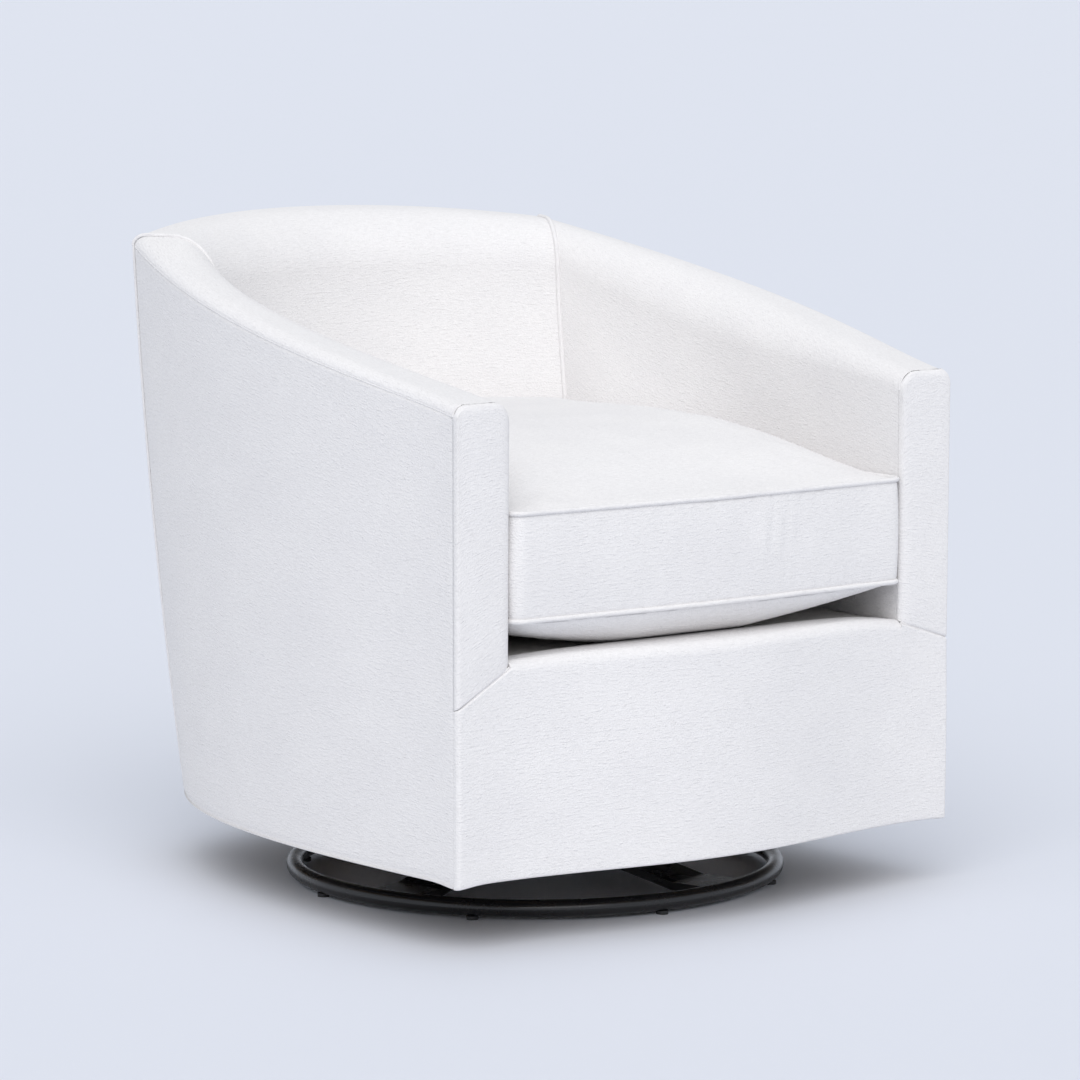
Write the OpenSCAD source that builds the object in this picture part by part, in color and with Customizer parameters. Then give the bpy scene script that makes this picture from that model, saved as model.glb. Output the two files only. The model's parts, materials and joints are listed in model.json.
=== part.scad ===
// Swivel glider tub chair. An upholstered barrel body hangs on four swinging links over a
// round swivel base. The front faces -Y, +Z is up, and the floor is at zero height. The origin
// is on the floor, halfway between the bowed front and the back, on the plane of symmetry.

/* [Body outline] */
// Depth from the front of the bow to the back edge
body_d = 816; // [800:2:832]
// Width of one arm at its front
arm_t = 69; // [66:0.5:72]
// How far the back corner lies inside the arm's outer side, along the top edge
corner_in = 51; // [46:1:56]
// How far the back bows out behind its corners
back_bow = 93; // [88:1:98]
// How far the front rail bows out ahead of the arms
front_bow = 34; // [28:1:40]
// How far the sweep of the side swells outside the back corner
side_swell = 139; // [130:1:146]
// How far ahead of the back corner the sweep of the side begins
side_sweep = 361; // [345:1:375]
// Straight run of the side behind the arm front
side_run = 108; // [98:1:118]
// How far the straight run of the side toes in
side_toe = 4; // [0:0.5:8]

/* [Hem] */
// Height of the hem over the floor
hem_h = 72; // [69:0.5:76]
// How far the hem lies inside the top edge at the back corner, sideways
hem_corner_in = 46; // [42:1:50]
// How far the hem lies ahead of the top edge at the back corner
hem_corner_fwd = 26; // [22:1:30]
// How far the hem lies ahead of the top edge at the middle of the back
hem_back_in = 68; // [62:1:74]
// How far the sweep of the hem swells outside its back corner
hem_swell = 150; // [142:1:156]
// How far ahead of its back corner the sweep of the hem begins
hem_sweep = 193; // [180:1:205]
// How much the outer wall bellies out between hem and top edge
belly_share = 0.49; // [0.3:0.01:0.6]

/* [Top edge] */
// Height of the outer seam at the arm front
arm_h = 561; // [552:1:570]
// Height of the outer seam at the back corner
corner_h = 697; // [688:1:704]
// Height of the outer seam at the middle of the back
back_h = 715; // [710:1:722]
// Rise of the padded top over the outer seam
crown = 12; // [10:0.5:14]
// Outer rounding of the padded top at the arm front
roll_front = 13; // [11:0.5:16]
// Outer rounding of the padded top at the back
roll_back = 20; // [16:0.5:24]
// Inner rounding of the padded top at the arm front
shoulder_front = 20; // [16:0.5:24]
// Inner rounding of the padded top at the back
shoulder_back = 60; // [50:1:64]
// Fall of the padded top towards the seat at the middle of the back
back_drop = 15; // [10:0.5:18]

/* [Seat well] */
// Width of the seat well between the arm fronts
seat_w = 536; // [528:2:542]
// How far the seat well's back corner lies inside its front width, at the top
well_corner_in = 28; // [24:1:32]
// Depth of the padded top at the back
wall_back_t = 102; // [96:1:106]
// How far the inside back leans in on its way down to the cushion
back_lean = 40; // [32:1:46]
// Height at which the leaning inside back turns upright
lean_h = 490; // [480:1:500]
// How far the inside arm sweeps out between its ends
well_swell = 56; // [50:1:62]
// How far ahead of its back corner the sweep of the inside arm begins
well_sweep = 203; // [190:1:215]

/* [Front rail] */
// Height of the padded front rail
rail_h = 306; // [302:0.5:310]
// Rounding of the front rail's top edge
rail_roll = 13; // [10:0.5:15]
// How far the mitre seam lies below the front rail's top, at the outer corner of the front
mitre_out_drop = 41; // [34:1:51]
// How far the mitre seam lies below the front rail's top, beside the seat well
mitre_in_drop = 10; // [8:0.5:16]
// Depth of the front rail's padded shelf behind the arm fronts
shelf_d = 38; // [34:1:42]

/* [Upholstery] */
// Thickness of a padded front panel
facing_t = 8; // [6:0.5:10]
// Thickness of an outside cover with its wadding
outer_t = 4; // [3:0.25:5]
// Thickness of an inside cover
inner_t = 3; // [2:0.25:4]
// Room between a soft piece and its neighbour
soft_gap = 0.4; // [0.3:0.05:0.6]
// Radius of the welt cord
welt_r = 2.6; // [2.2:0.1:3]

/* [Timber frame] */
// Thickness of the frame boards
board_t = 22; // [18:0.5:24]
// Height of the rails behind the hem
base_rail_h = 40; // [30:1:50]
// How far the padded front rail stands over the tops of the seat rails
rail_pad_h = 26; // [24:0.5:28]
// Width of the seat rails, on edge
seat_rail_w = 52.4; // [48:0.2:55]
// Depth of the timber posts in the arm fronts
post_d = 25; // [20:0.5:30]
// Width of the boards that carry the glide mechanism
mount_board_w = 80; // [70:1:90]

/* [Springs and deck] */
// Radius of the spring wire
wire_r = 2; // [1.6:0.1:2.2]
// Number of zigzag springs
spring_count = 5; // [3:1:5]
// Distance from the outermost spring to the side of the seat well
spring_margin = 76; // [70:1:84]
// Half the width of a zigzag spring
spring_half_w = 24; // [18:0.5:28]
// Thickness of the deck pad
deck_pad_t = 12; // [9:0.5:13]
// Thickness of the deck cloth and of the dust cover
cloth_t = 1.4; // [1:0.1:1.8]

/* [Cushion] */
// Height of the cushion's boxing band between its seams
boxing_h = 112; // [104:1:118]
// How far the cushion's underside bulges below its lower seam, down to the deck
cushion_belly_h = 45.3; // [42:0.1:48]
// Rise of the cushion's crown over its upper seam
crown_h = 62; // [44:1:68]
// Distance from the seam at which the crown is level
crown_run = 130; // [110:1:160]
// How far the front of the cushion bows out
cushion_bow = 10; // [6:0.5:14]
// Thickness of the cushion's cover
cover_t = 2; // [1.5:0.1:2.5]

/* [Swivel base] */
// Radius of the base ring, to the middle of its tube
ring_r = 269.9; // [262:0.1:278]
// Radius of the ring's tube
tube_r = 9.5; // [8.5:0.1:10.5]
// Height of a floor glide
glide_h = 4; // [3:0.25:5]
// Radius of a floor glide
glide_r = 6.5; // [5:0.25:8]
// Number of floor glides
glide_count = 8; // [6:1:10]
// Width of a cross arm
cross_w = 60; // [50:1:66]
// Thickness of the pressed steel of the cross arms
cross_t = 3; // [2.5:0.1:3.5]
// Height of the flat middle of the cross arms
cross_h = 46; // [44:0.5:48]
// Distance of the swivel axis ahead of the middle of the body
swivel_fwd = 60; // [54:1:66]

/* [Bearing] */
// Radius of the ball circle
ball_circle_r = 60; // [54:1:66]
// Radius of a bearing ball
ball_r = 4; // [3.5:0.1:4.4]
// Number of bearing balls
ball_count = 16; // [12:1:20]
// Radius of the bearing plates
race_r = 76; // [72:1:80]
// Radius of the pivot bolt
bolt_r = 8; // [6:0.5:9]

/* [Glide linkage] */
// Length of a swinging link between its pivots
link_len = 92; // [86:1:94]
// Height of the upper pivots
pivot_h = 180; // [178:0.5:182]
// Distance of the pivots ahead of and behind the swivel axis
pivot_y = 110; // [104:1:116]
// Distance of the hanger plates from the plane of symmetry
hanger_x = 122; // [112:1:126]
// Thickness of the plates of the linkage
plate_t = 3; // [2.5:0.1:3.5]
// Thickness of a link
link_t = 4; // [3:0.25:5]
// Radius of a pivot pin
pin_r = 5; // [4:0.25:6]
// Radius of a link's eye
eye_r = 14; // [12:0.5:15]
// Largest swing of the links to either side, in degrees
swing = 28; // [20:1:30]

/* [Hidden] */
$fn = 48;

// Radial room in a running fit, and room between plates that slide past each other
fit_gap = 0.05;
slide_gap = 0.3;
// Room between two timber or cloth ends that butt
butt_gap = 0.3;
// Room between the timber and an outside cover, so that their facets stay apart
timber_gap = 1.4;
// Overrun of a cutting tool
over = 2;

// Stations along a side, across the back, along the front and down the outer wall
side_steps = 14;
back_steps = 16;
front_steps = 24;
wall_steps = 6;
// Steps round the outer and inner rounding of the padded top
roll_steps = 4;
shoulder_steps = 5;
// Where the leaning inside back has a middle line, and how far it has leaned there
lean_mid_share = 0.5;
lean_mid_in_share = 0.42;
// Where along the side the inside back starts to lean
lean_from_share = 0.45;

// Widths across both arms, across the back corners and across the well's back corners
arm_w = seat_w + 2 * arm_t;
corner_w = arm_w - 2 * corner_in;
well_corner_w = seat_w - 2 * well_corner_in;

// Heights of the seat rails and of the mitre seams
seat_rail_top_h = rail_h - rail_pad_h;
seat_rail_low_h = seat_rail_top_h - seat_rail_w;
mitre_out_h = rail_h - mitre_out_drop;
mitre_in_h = rail_h - mitre_in_drop;

// Planes of the body
front_y = -body_d / 2;
back_y = body_d / 2;
arm_y = front_y + front_bow;
side_y = arm_y + facing_t + soft_gap;
corner_y = back_y - back_bow;
swivel_y = -swivel_fwd;

// Plan curves as seen from above on the right-hand side. Each holds the four points of its
// side sweep, ending at the back corner, and the place of its middle on the back.
top_line = [[
    [arm_w / 2, side_y],
    [arm_w / 2 - side_toe, side_y + side_run],
    [corner_w / 2 + side_swell, corner_y - side_sweep],
    [corner_w / 2, corner_y]
], back_y];
hem_line = [[
    [arm_w / 2, side_y],
    [arm_w / 2, side_y + side_run],
    [corner_w / 2 - hem_corner_in + hem_swell, corner_y - hem_corner_fwd - hem_sweep],
    [corner_w / 2 - hem_corner_in, corner_y - hem_corner_fwd]
], back_y - hem_back_in];
well_line = [[
    [seat_w / 2, side_y],
    [seat_w / 2 + side_toe, side_y + side_run],
    [well_corner_w / 2 + well_swell, corner_y - wall_back_t - well_sweep],
    [well_corner_w / 2, corner_y - wall_back_t]
], back_y - wall_back_t];

function mix(a, b, t) = a + (b - a) * t;
function clamp(t) = min(1, max(0, t));
function eased(t) = let (c = clamp(t)) c * c * (3 - 2 * c);
function unit(v) = v / norm(v);
function total(v) = v * [for (i = v) 1];
function bezier(q, t) =
    q[0] * pow(1 - t, 3) + 3 * q[1] * t * pow(1 - t, 2) + 3 * q[2] * t * t * (1 - t) + q[3] * pow(t, 3);

// A point of the arc that runs through both back corners and the middle of the back.
// s goes from 1 at the right corner to -1 at the left one.
function bow_r(half_w, sag) = (half_w * half_w + sag * sag) / (2 * sag);
function bow_at(half_w, end_y, mid_y, s) =
    let (r = bow_r(half_w, mid_y - end_y), a = asin(half_w / r) * s)
    [r * sin(a), mid_y - r + r * cos(a)];

// A station p runs from 0 at the arm front to 1 at the right back corner, 2 at the middle of
// the back and 3 at the left back corner.
function line_at(line, p) =
    p <= 1 ? bezier(line[0], p) : bow_at(line[0][3][0], line[0][3][1], line[1], 2 - p);
function to_middle(p) = 1 - pow(2 - p, 2);
function seam_z(p) =
    p <= 1 ? mix(arm_h, corner_h, (line_at(top_line, p)[1] - side_y) / (corner_y - side_y))
    : mix(corner_h, back_h, to_middle(p));
function drop(p) = p <= 1 ? 0 : back_drop * to_middle(p);
function roll(p) = mix(roll_front, roll_back, eased(min(p, 4 - p)));
function shoulder(p) = mix(shoulder_front, shoulder_back, eased(1.2 * min(p, 4 - p)));
function lean(p) = back_lean * eased((min(p, 4 - p) - lean_from_share) / (1 - lean_from_share));
function inward(p) = unit(line_at(well_line, p) - line_at(top_line, p));
function wall_w(p) = norm(line_at(well_line, p) - line_at(top_line, p));

// Outer wall at a height, and a place some depth inside it
function belly(v) = v + belly_share * v * (1 - v);
function outer_at(p, z) =
    let (v = (z - hem_h) / (seam_z(p) - hem_h))
    mix(line_at(hem_line, p), line_at(top_line, p), belly(v));
function in_wall(p, z, depth) =
    let (q = outer_at(p, z) + inward(p) * depth)
    [q[0], q[1], z];
// Place at a depth from the outer seam, in the upright plane of the station
function at_depth(p, depth, z) =
    let (q = line_at(top_line, p) + inward(p) * depth)
    [q[0], q[1], z];

// Line over the padded top from the outer seam to the deck, set in by some thickness
tuck_h = seat_rail_top_h + 3 * wire_r;
function over_top(p, inset, low_z) =
    let (
        w = wall_w(p),
        ro = roll(p),
        ri = min(shoulder(p), w - ro),
        z0 = seam_z(p),
        z1 = z0 + crown - ri,
        zi = z1 - drop(p),
        l = lean(p)
    )
    concat(
        [for (k = [0:roll_steps]) let (a = 90 * k / roll_steps)
            at_depth(p, ro - (ro - inset) * cos(a), z0 + (crown - inset) * sin(a))],
        [for (k = [0:shoulder_steps])
            let (a = 90 * k / shoulder_steps, d = w - ri + (ri - inset) * sin(a))
            at_depth(p, d, z1 + (ri - inset) * cos(a) - drop(p) * eased((d - ro) / (w - ro - inset)))],
        [at_depth(p, w - inset + l * lean_mid_in_share, mix(zi, lean_h, lean_mid_share)),
         at_depth(p, w - inset + l, lean_h),
         at_depth(p, w - inset + l, low_z)]
    );
function well_at(p, room) =
    let (q = line_at(top_line, p) + inward(p) * (wall_w(p) + lean(p) + room))
    q;

// Front line of the bowed rail at a distance from the middle
bow_half_share = 0.89;
bow_half_w = bow_half_share * arm_w / 2;
function front_at(x) =
    arm_y - (abs(x) < bow_half_w ? front_bow * pow(cos(90 * x / bow_half_w), 2) : 0);
// The rail's top dips a little towards the arms
rail_dip = 6;
function rail_top(x) = rail_h - rail_dip * pow(clamp(abs(x) / (seat_w / 2)), 3);

// A closed solid from points and faces, turned the right way round
function face_volume(pts, f) =
    total([for (k = [1:len(f) - 2]) cross(pts[f[0]], pts[f[k]]) * pts[f[k + 1]]]);
function backwards(f) = [for (k = [len(f) - 1:-1:0]) f[k]];
module closed_solid(pts, faces) {
    v = total([for (f = faces) face_volume(pts, f)]);
    polyhedron(points = pts, faces = v < 0 ? faces : [for (f = faces) backwards(f)], convexity = 8);
}

// Two triangles between four corners
function two(a, b, c, d) = [[a, b, c], [a, c, d]];
function flat_list(v) = [for (a = v) each a];

// A thin sheet between two grids of points, rows of equal length
module sheet(front, back) {
    n = len(front);
    m = len(front[0]);
    o = n * m;
    f = concat(
        [for (i = [0:n - 2], k = [0:m - 2]) each
            two(i * m + k, i * m + k + 1, (i + 1) * m + k + 1, (i + 1) * m + k)],
        [for (i = [0:n - 2], k = [0:m - 2]) each
            two(o + i * m + k, o + (i + 1) * m + k, o + (i + 1) * m + k + 1, o + i * m + k + 1)],
        [for (i = [0:n - 2]) each two(i * m, (i + 1) * m, o + (i + 1) * m, o + i * m)],
        [for (i = [0:n - 2]) each
            two(i * m + m - 1, o + i * m + m - 1, o + (i + 1) * m + m - 1, (i + 1) * m + m - 1)],
        [for (k = [0:m - 2]) each two(k, o + k, o + k + 1, k + 1)],
        [for (k = [0:m - 2]) let (a = (n - 1) * m + k) each two(a, a + 1, o + a + 1, o + a)]
    );
    closed_solid(concat(flat_list(front), flat_list(back)), f);
}

// A solid through rings of points; loop joins the last ring to the first
module loft(rings, loop = false) {
    n = len(rings);
    m = len(rings[0]);
    last = loop ? n - 1 : n - 2;
    sides = [for (i = [0:last], k = [0:m - 1]) let (j = (i + 1) % n, l = (k + 1) % m) each
        two(i * m + k, i * m + l, j * m + l, j * m + k)];
    ends = loop ? [] : [[for (k = [m - 1:-1:0]) k], [for (k = [0:m - 1]) (n - 1) * m + k]];
    closed_solid(flat_list(rings), concat(sides, ends));
}

// A round tube along a path; up is a direction that the path never takes
module tube(path, r, sides, up, loop = false) {
    n = len(path);
    loft([for (i = [0:n - 1])
        let (
            a = path[loop ? (i + n - 1) % n : max(0, i - 1)],
            b = path[loop ? (i + 1) % n : min(n - 1, i + 1)],
            u = unit(cross(b - a, up)),
            v = unit(cross(b - a, u))
        )
        [for (k = [0:sides - 1]) let (t = 360 * k / sides) path[i] + r * (u * cos(t) + v * sin(t))]
    ], loop);
}

module both_sides() {
    children();
    mirror([1, 0, 0]) children();
}

// A block between two corners
module block(low, high) {
    translate(low) cube(high - low);
}

// A pin along X between two places
module pin_x(x0, x1, r) {
    translate([x0, 0, 0]) rotate([0, 90, 0]) cylinder(r = r, h = x1 - x0);
}

// Shares of the side and of the back that a cover stops short of a corner seam, where a rail
// stops short of a post, and where the arm padding starts behind the arm's post
side_seam_share = 0.0065;
back_seam_share = 0.0115;
seam_share = 0.0014;
foam_from_share = 0.08;
side_stations = [for (i = [0:side_steps]) i / side_steps];
cover_side = [for (p = side_stations) p * (1 - side_seam_share)];
cover_back = [for (i = [0:back_steps]) mix(1 + back_seam_share, 3 - back_seam_share, i / back_steps)];

/* Base */
base_turn = 16;
glide_turn = -6.5;
ring_z = glide_h + tube_r;
// The cross arm leaves the ring at this height and climbs between these two distances
cross_low_h = ring_z + tube_r / 2;
cross_foot_r = 0.78 * ring_r;
cross_head_r = race_r + cross_t;
flange_h = 3 * cross_t;

module at_swivel() {
    translate([0, swivel_y, 0]) children();
}

module ring_tube(extra) {
    translate([0, 0, ring_z])
        rotate_extrude($fn = 96) translate([ring_r, 0]) circle(r = tube_r + extra, $fn = 32);
}

// Side view of a cross arm's top web, from one end to the other
function web_line(reach, drop_t) = [
    [-reach, cross_low_h - drop_t], [-cross_foot_r, cross_low_h - drop_t],
    [-cross_head_r, cross_h - drop_t], [cross_head_r, cross_h - drop_t],
    [cross_foot_r, cross_low_h - drop_t], [reach, cross_low_h - drop_t]
];
module web_strip(w, depth_t) {
    translate([0, w / 2, 0])
        rotate([90, 0, 0]) linear_extrude(w)
            polygon(concat(web_line(ring_r, 0), backwards(web_line(ring_r, depth_t))));
}
module cross_channel() {
    difference() {
        union() {
            web_strip(cross_w, cross_t);
            for (s = [-1, 1])
                translate([0, s * (cross_w - cross_t) / 2, 0]) web_strip(cross_t, flange_h);
        }
        ring_tube_here();
        translate([0, 0, cross_h]) cylinder(r = bolt_r + fit_gap, h = 4 * cross_t, center = true);
    }
}
module ring_tube_here() {
    ring_tube(butt_gap);
}

module base_ring() {
    color([0.07, 0.07, 0.075]) at_swivel() ring_tube(0);
}
module base_arm_long() {
    color([0.07, 0.07, 0.075]) at_swivel() rotate(base_turn) cross_channel();
}
module base_arm_halves() {
    color([0.07, 0.07, 0.075]) at_swivel() rotate(base_turn + 90)
        difference() {
            cross_channel();
            block([-cross_w / 2 - butt_gap, -cross_w, 0], [cross_w / 2 + butt_gap, cross_w, 2 * cross_h]);
        }
}
module floor_glides() {
    color([0.05, 0.05, 0.055]) at_swivel()
        for (k = [0:glide_count - 1])
            rotate(glide_turn - 90 + 360 * k / glide_count) translate([ring_r, 0, 0])
                cylinder(r = glide_r, h = glide_h - fit_gap);
}

/* Bearing */
race_t = 6;
ball_z = cross_h + race_t + ball_r / 2;
upper_race_z = ball_z + ball_r / 2;
plate_z = upper_race_z + race_t;
bolt_head_h = 7;
washer_t = 2.5;
nut_h = 10;
cage_t = 1.6;
cage_w = 4 * ball_r;

module race(z) {
    difference() {
        translate([0, 0, z]) cylinder(r = race_r, h = race_t, $fn = 96);
        translate([0, 0, z - over]) cylinder(r = bolt_r + fit_gap, h = race_t + 2 * over);
        translate([0, 0, ball_z]) rotate_extrude($fn = 96)
            translate([ball_circle_r, 0]) circle(r = ball_r + fit_gap, $fn = 32);
    }
}
module each_ball() {
    for (k = [0:ball_count - 1])
        rotate(360 * k / ball_count) translate([ball_circle_r, 0, ball_z]) children();
}
module lower_race() {
    color([0.45, 0.45, 0.47]) at_swivel() race(cross_h);
}
module upper_race() {
    color([0.45, 0.45, 0.47]) at_swivel() race(upper_race_z);
}
module bearing_balls() {
    color([0.75, 0.75, 0.78]) at_swivel() each_ball() sphere(r = ball_r);
}
module ball_cage() {
    color([0.8, 0.76, 0.62]) at_swivel() difference() {
        translate([0, 0, ball_z - cage_t / 2])
            cylinder(r = ball_circle_r + cage_w / 2, h = cage_t, $fn = 96);
        translate([0, 0, ball_z - cage_t])
            cylinder(r = ball_circle_r - cage_w / 2, h = 2 * cage_t, $fn = 96);
        each_ball() cylinder(r = ball_r + fit_gap, h = 2 * cage_t, center = true);
    }
}
module pivot_bolt() {
    head_z = cross_h - cross_t - bolt_head_h;
    color([0.35, 0.35, 0.37]) at_swivel() {
        translate([0, 0, head_z]) cylinder(r = 1.7 * bolt_r, h = bolt_head_h, $fn = 6);
        translate([0, 0, head_z])
            cylinder(r = bolt_r, h = plate_z + plate_t + washer_t + nut_h + washer_t - head_z);
    }
}
module pivot_nut() {
    color([0.35, 0.35, 0.37]) at_swivel() translate([0, 0, plate_z + plate_t]) {
        difference() {
            cylinder(r = 1.9 * bolt_r, h = washer_t);
            translate([0, 0, -over]) cylinder(r = bolt_r + fit_gap, h = nut_h + washer_t + 2 * over);
        }
        translate([0, 0, washer_t]) difference() {
            cylinder(r = 1.6 * bolt_r, h = nut_h, $fn = 6);
            translate([0, 0, -over]) cylinder(r = bolt_r + fit_gap, h = nut_h + 2 * over);
        }
    }
}

/* Swivel frame */
// Planes of the linkage, from the hanger plate outwards
head_t = 2.6;
inner_head_x = hanger_x + plate_t + 2.5;
link_x = inner_head_x + head_t + slide_gap;
outer_head_x = link_x + link_t + slide_gap;
mount_x = outer_head_x + head_t + 2.2;
head_r = 8;
hanger_len = 2 * (pivot_y + eye_r + 2 * plate_t);
hanger_top_h = pivot_h + eye_r;
low_pivot_h = pivot_h - link_len;
bumper_r = 7;
bumper_t = inner_head_x - hanger_x - plate_t + head_t - slide_gap;

// A place along the swinging pivot's path, some distance ahead of the pin at the end of the swing
bumper_gap = head_r + bumper_r + slide_gap;
bumper_y = pivot_y - link_len * sin(swing) - bumper_gap * cos(swing);
bumper_z = pivot_h - link_len * cos(swing) + bumper_gap * sin(swing);

module at_pivots(z) {
    for (s = [-1, 1]) translate([0, swivel_y + s * pivot_y, z]) children();
}

module swivel_plate() {
    color([0.16, 0.16, 0.17]) at_swivel() difference() {
        block(
            [-hanger_x + fit_gap, -hanger_len / 2, plate_z],
            [hanger_x - fit_gap, hanger_len / 2, plate_z + plate_t]
        );
        translate([0, 0, plate_z - over]) cylinder(r = bolt_r + fit_gap, h = plate_t + 2 * over);
    }
}
module hanger_plates() {
    color([0.16, 0.16, 0.17]) both_sides() difference() {
        block(
            [hanger_x, swivel_y - hanger_len / 2, plate_z],
            [hanger_x + plate_t, swivel_y + hanger_len / 2, hanger_top_h]
        );
        at_pivots(pivot_h) pin_x(hanger_x - over, hanger_x + plate_t + over, pin_r + fit_gap);
        translate([0, swivel_y, mix(plate_z, hanger_top_h, 0.5)])
            pin_x(hanger_x - over, hanger_x + plate_t + over, 2 * eye_r);
    }
}
module upper_pivot_pins() {
    color([0.6, 0.6, 0.62]) both_sides() at_pivots(pivot_h) {
        pin_x(hanger_x - head_t, hanger_x - fit_gap, head_r);
        pin_x(hanger_x - head_t, outer_head_x + head_t, pin_r);
        pin_x(hanger_x + plate_t + fit_gap, link_x - slide_gap, head_r);
        pin_x(outer_head_x, outer_head_x + head_t, head_r);
    }
}
module stop_bumpers() {
    color([0.1, 0.1, 0.1]) both_sides()
        for (s = [-1, 1]) translate([0, swivel_y + s * bumper_y, bumper_z])
            pin_x(hanger_x + plate_t, hanger_x + plate_t + bumper_t, bumper_r);
}

/* Links */
module swing_link(side, end) {
    color([0.55, 0.55, 0.57])
        translate([side > 0 ? 0 : -2 * link_x - link_t, swivel_y + end * pivot_y, 0])
            difference() {
                union() {
                    for (z = [pivot_h, low_pivot_h])
                        translate([0, 0, z]) pin_x(link_x, link_x + link_t, eye_r);
                    block([link_x, -0.75 * eye_r, low_pivot_h], [link_x + link_t, 0.75 * eye_r, pivot_h]);
                }
                for (z = [pivot_h, low_pivot_h])
                    translate([0, 0, z]) pin_x(link_x - over, link_x + link_t + over, pin_r + fit_gap);
            }
}
module link_front_left() {
    swing_link(-1, -1);
}
module link_front_right() {
    swing_link(1, -1);
}
module link_rear_left() {
    swing_link(-1, 1);
}
module link_rear_right() {
    swing_link(1, 1);
}

/* Seat mounts */
dust_z = seat_rail_low_h - cloth_t - fit_gap;
board_top_h = dust_z - fit_gap;
board_low_h = board_top_h - board_t;
flange_w = 40;
mount_len = 2 * (pivot_y + eye_r + 5 * plate_t);
screw_r = 4;
screw_x = mount_x + flange_w / 2;

module seat_mount() {
    color([0.16, 0.16, 0.17]) difference() {
        union() {
            block(
                [mount_x, swivel_y - mount_len / 2, low_pivot_h - eye_r],
                [mount_x + plate_t, swivel_y + mount_len / 2, board_low_h]
            );
            block(
                [mount_x, swivel_y - mount_len / 2, board_low_h - plate_t],
                [mount_x + flange_w, swivel_y + mount_len / 2, board_low_h]
            );
        }
        at_pivots(low_pivot_h) pin_x(mount_x - over, mount_x + plate_t + over, pin_r + fit_gap);
        at_pivots(board_low_h) translate([screw_x, 0, -plate_t - over])
            cylinder(r = screw_r + fit_gap, h = plate_t + 2 * over);
        translate([0, swivel_y, mix(low_pivot_h, board_low_h, 0.5)])
            pin_x(mount_x - over, mount_x + plate_t + over, 2 * eye_r);
    }
}
module seat_mount_left() {
    mirror([1, 0, 0]) seat_mount();
}
module seat_mount_right() {
    seat_mount();
}
module lower_pivot_pins() {
    color([0.6, 0.6, 0.62]) both_sides() at_pivots(low_pivot_h) {
        pin_x(inner_head_x, inner_head_x + head_t, head_r);
        pin_x(inner_head_x, mount_x + plate_t + head_t, pin_r);
        pin_x(outer_head_x, mount_x - fit_gap, head_r);
        pin_x(mount_x + plate_t + fit_gap, mount_x + plate_t + head_t, head_r);
    }
}
screw_len = 0.9 * board_t;
screw_head_h = 5;
module mount_screws() {
    color([0.5, 0.5, 0.52]) both_sides() at_pivots(board_low_h)
        translate([screw_x, 0, -plate_t - screw_head_h]) {
            cylinder(r = 1.6 * screw_r, h = screw_head_h - fit_gap, $fn = 6);
            cylinder(r = screw_r, h = screw_head_h + plate_t + screw_len);
        }
}

/* Timber frame */
timber_in = outer_t + timber_gap;
timber_out = timber_in + board_t;
base_rail_low_h = hem_h + outer_t;
top_rail_t = board_t;
board_x = mount_x + flange_w / 2 - mount_board_w / 2;
post_in_x = seat_w / 2 + side_toe + inner_t + butt_gap;
post_out_x = arm_w / 2 - timber_in - outer_t / 4;
post_back_y = side_y + post_d;
post_from_share = 0.94;
post_to_share = 1.06;

// A rail that follows the wall between two stations and two heights
module wall_rail(from, to, steps, z0, z1) {
    loft([for (i = [0:steps]) let (p = mix(from, to, i / steps)) [
        in_wall(p, z0, timber_in), in_wall(p, z0, timber_out),
        in_wall(p, z1, timber_out), in_wall(p, z1, timber_in)
    ]]);
}
// A straight-grained rail under the padded top
module top_rail(stations) {
    loft([for (p = stations) let (z = seam_z(p) - fit_gap) [
        in_wall(p, z - top_rail_t, timber_in), in_wall(p, z - top_rail_t, timber_out),
        at_depth(p, timber_out, z), at_depth(p, timber_in, z)
    ]]);
}
// A bowed rail behind the front panel
module front_rail(z0, z1) {
    x = post_in_x - butt_gap;
    function edge(i, y) = let (a = mix(-x, x, i / front_steps)) [a, front_at(a) + facing_t + butt_gap + y];
    translate([0, 0, z0]) linear_extrude(z1 - z0) polygon(concat(
        [for (i = [0:front_steps]) edge(i, 0)],
        [for (i = [front_steps:-1:0]) edge(i, board_t)]
    ));
}
module side_rail(z0, z1) {
    intersection() {
        wall_rail(0, post_from_share - seam_share, side_steps, z0, z1);
        block([0, post_back_y + butt_gap, 0], [arm_w, 2 * body_d, 2 * back_h]);
    }
}
module back_rail(z0, z1) {
    wall_rail(post_to_share + seam_share, 4 - post_to_share - seam_share, back_steps, z0, z1);
}
module post_space(room) {
    block(
        [post_in_x - room, side_y - room, base_rail_low_h - room],
        [post_out_x + room, post_back_y + room, seam_z(0) - top_rail_t - 2 * fit_gap + room]
    );
}
module back_post_space(room, end_share, z0, z1) {
    from = post_from_share - end_share;
    to = post_to_share + end_share;
    loft([for (i = [0:wall_steps]) let (z = mix(z0, z1, i / wall_steps)) concat(
        [for (p = [from, 1, to]) in_wall(p, z, timber_in - room)],
        [for (p = [to, 1, from]) in_wall(p, z, timber_out + room)]
    )]);
}
wood = [0.78, 0.64, 0.45];

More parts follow.
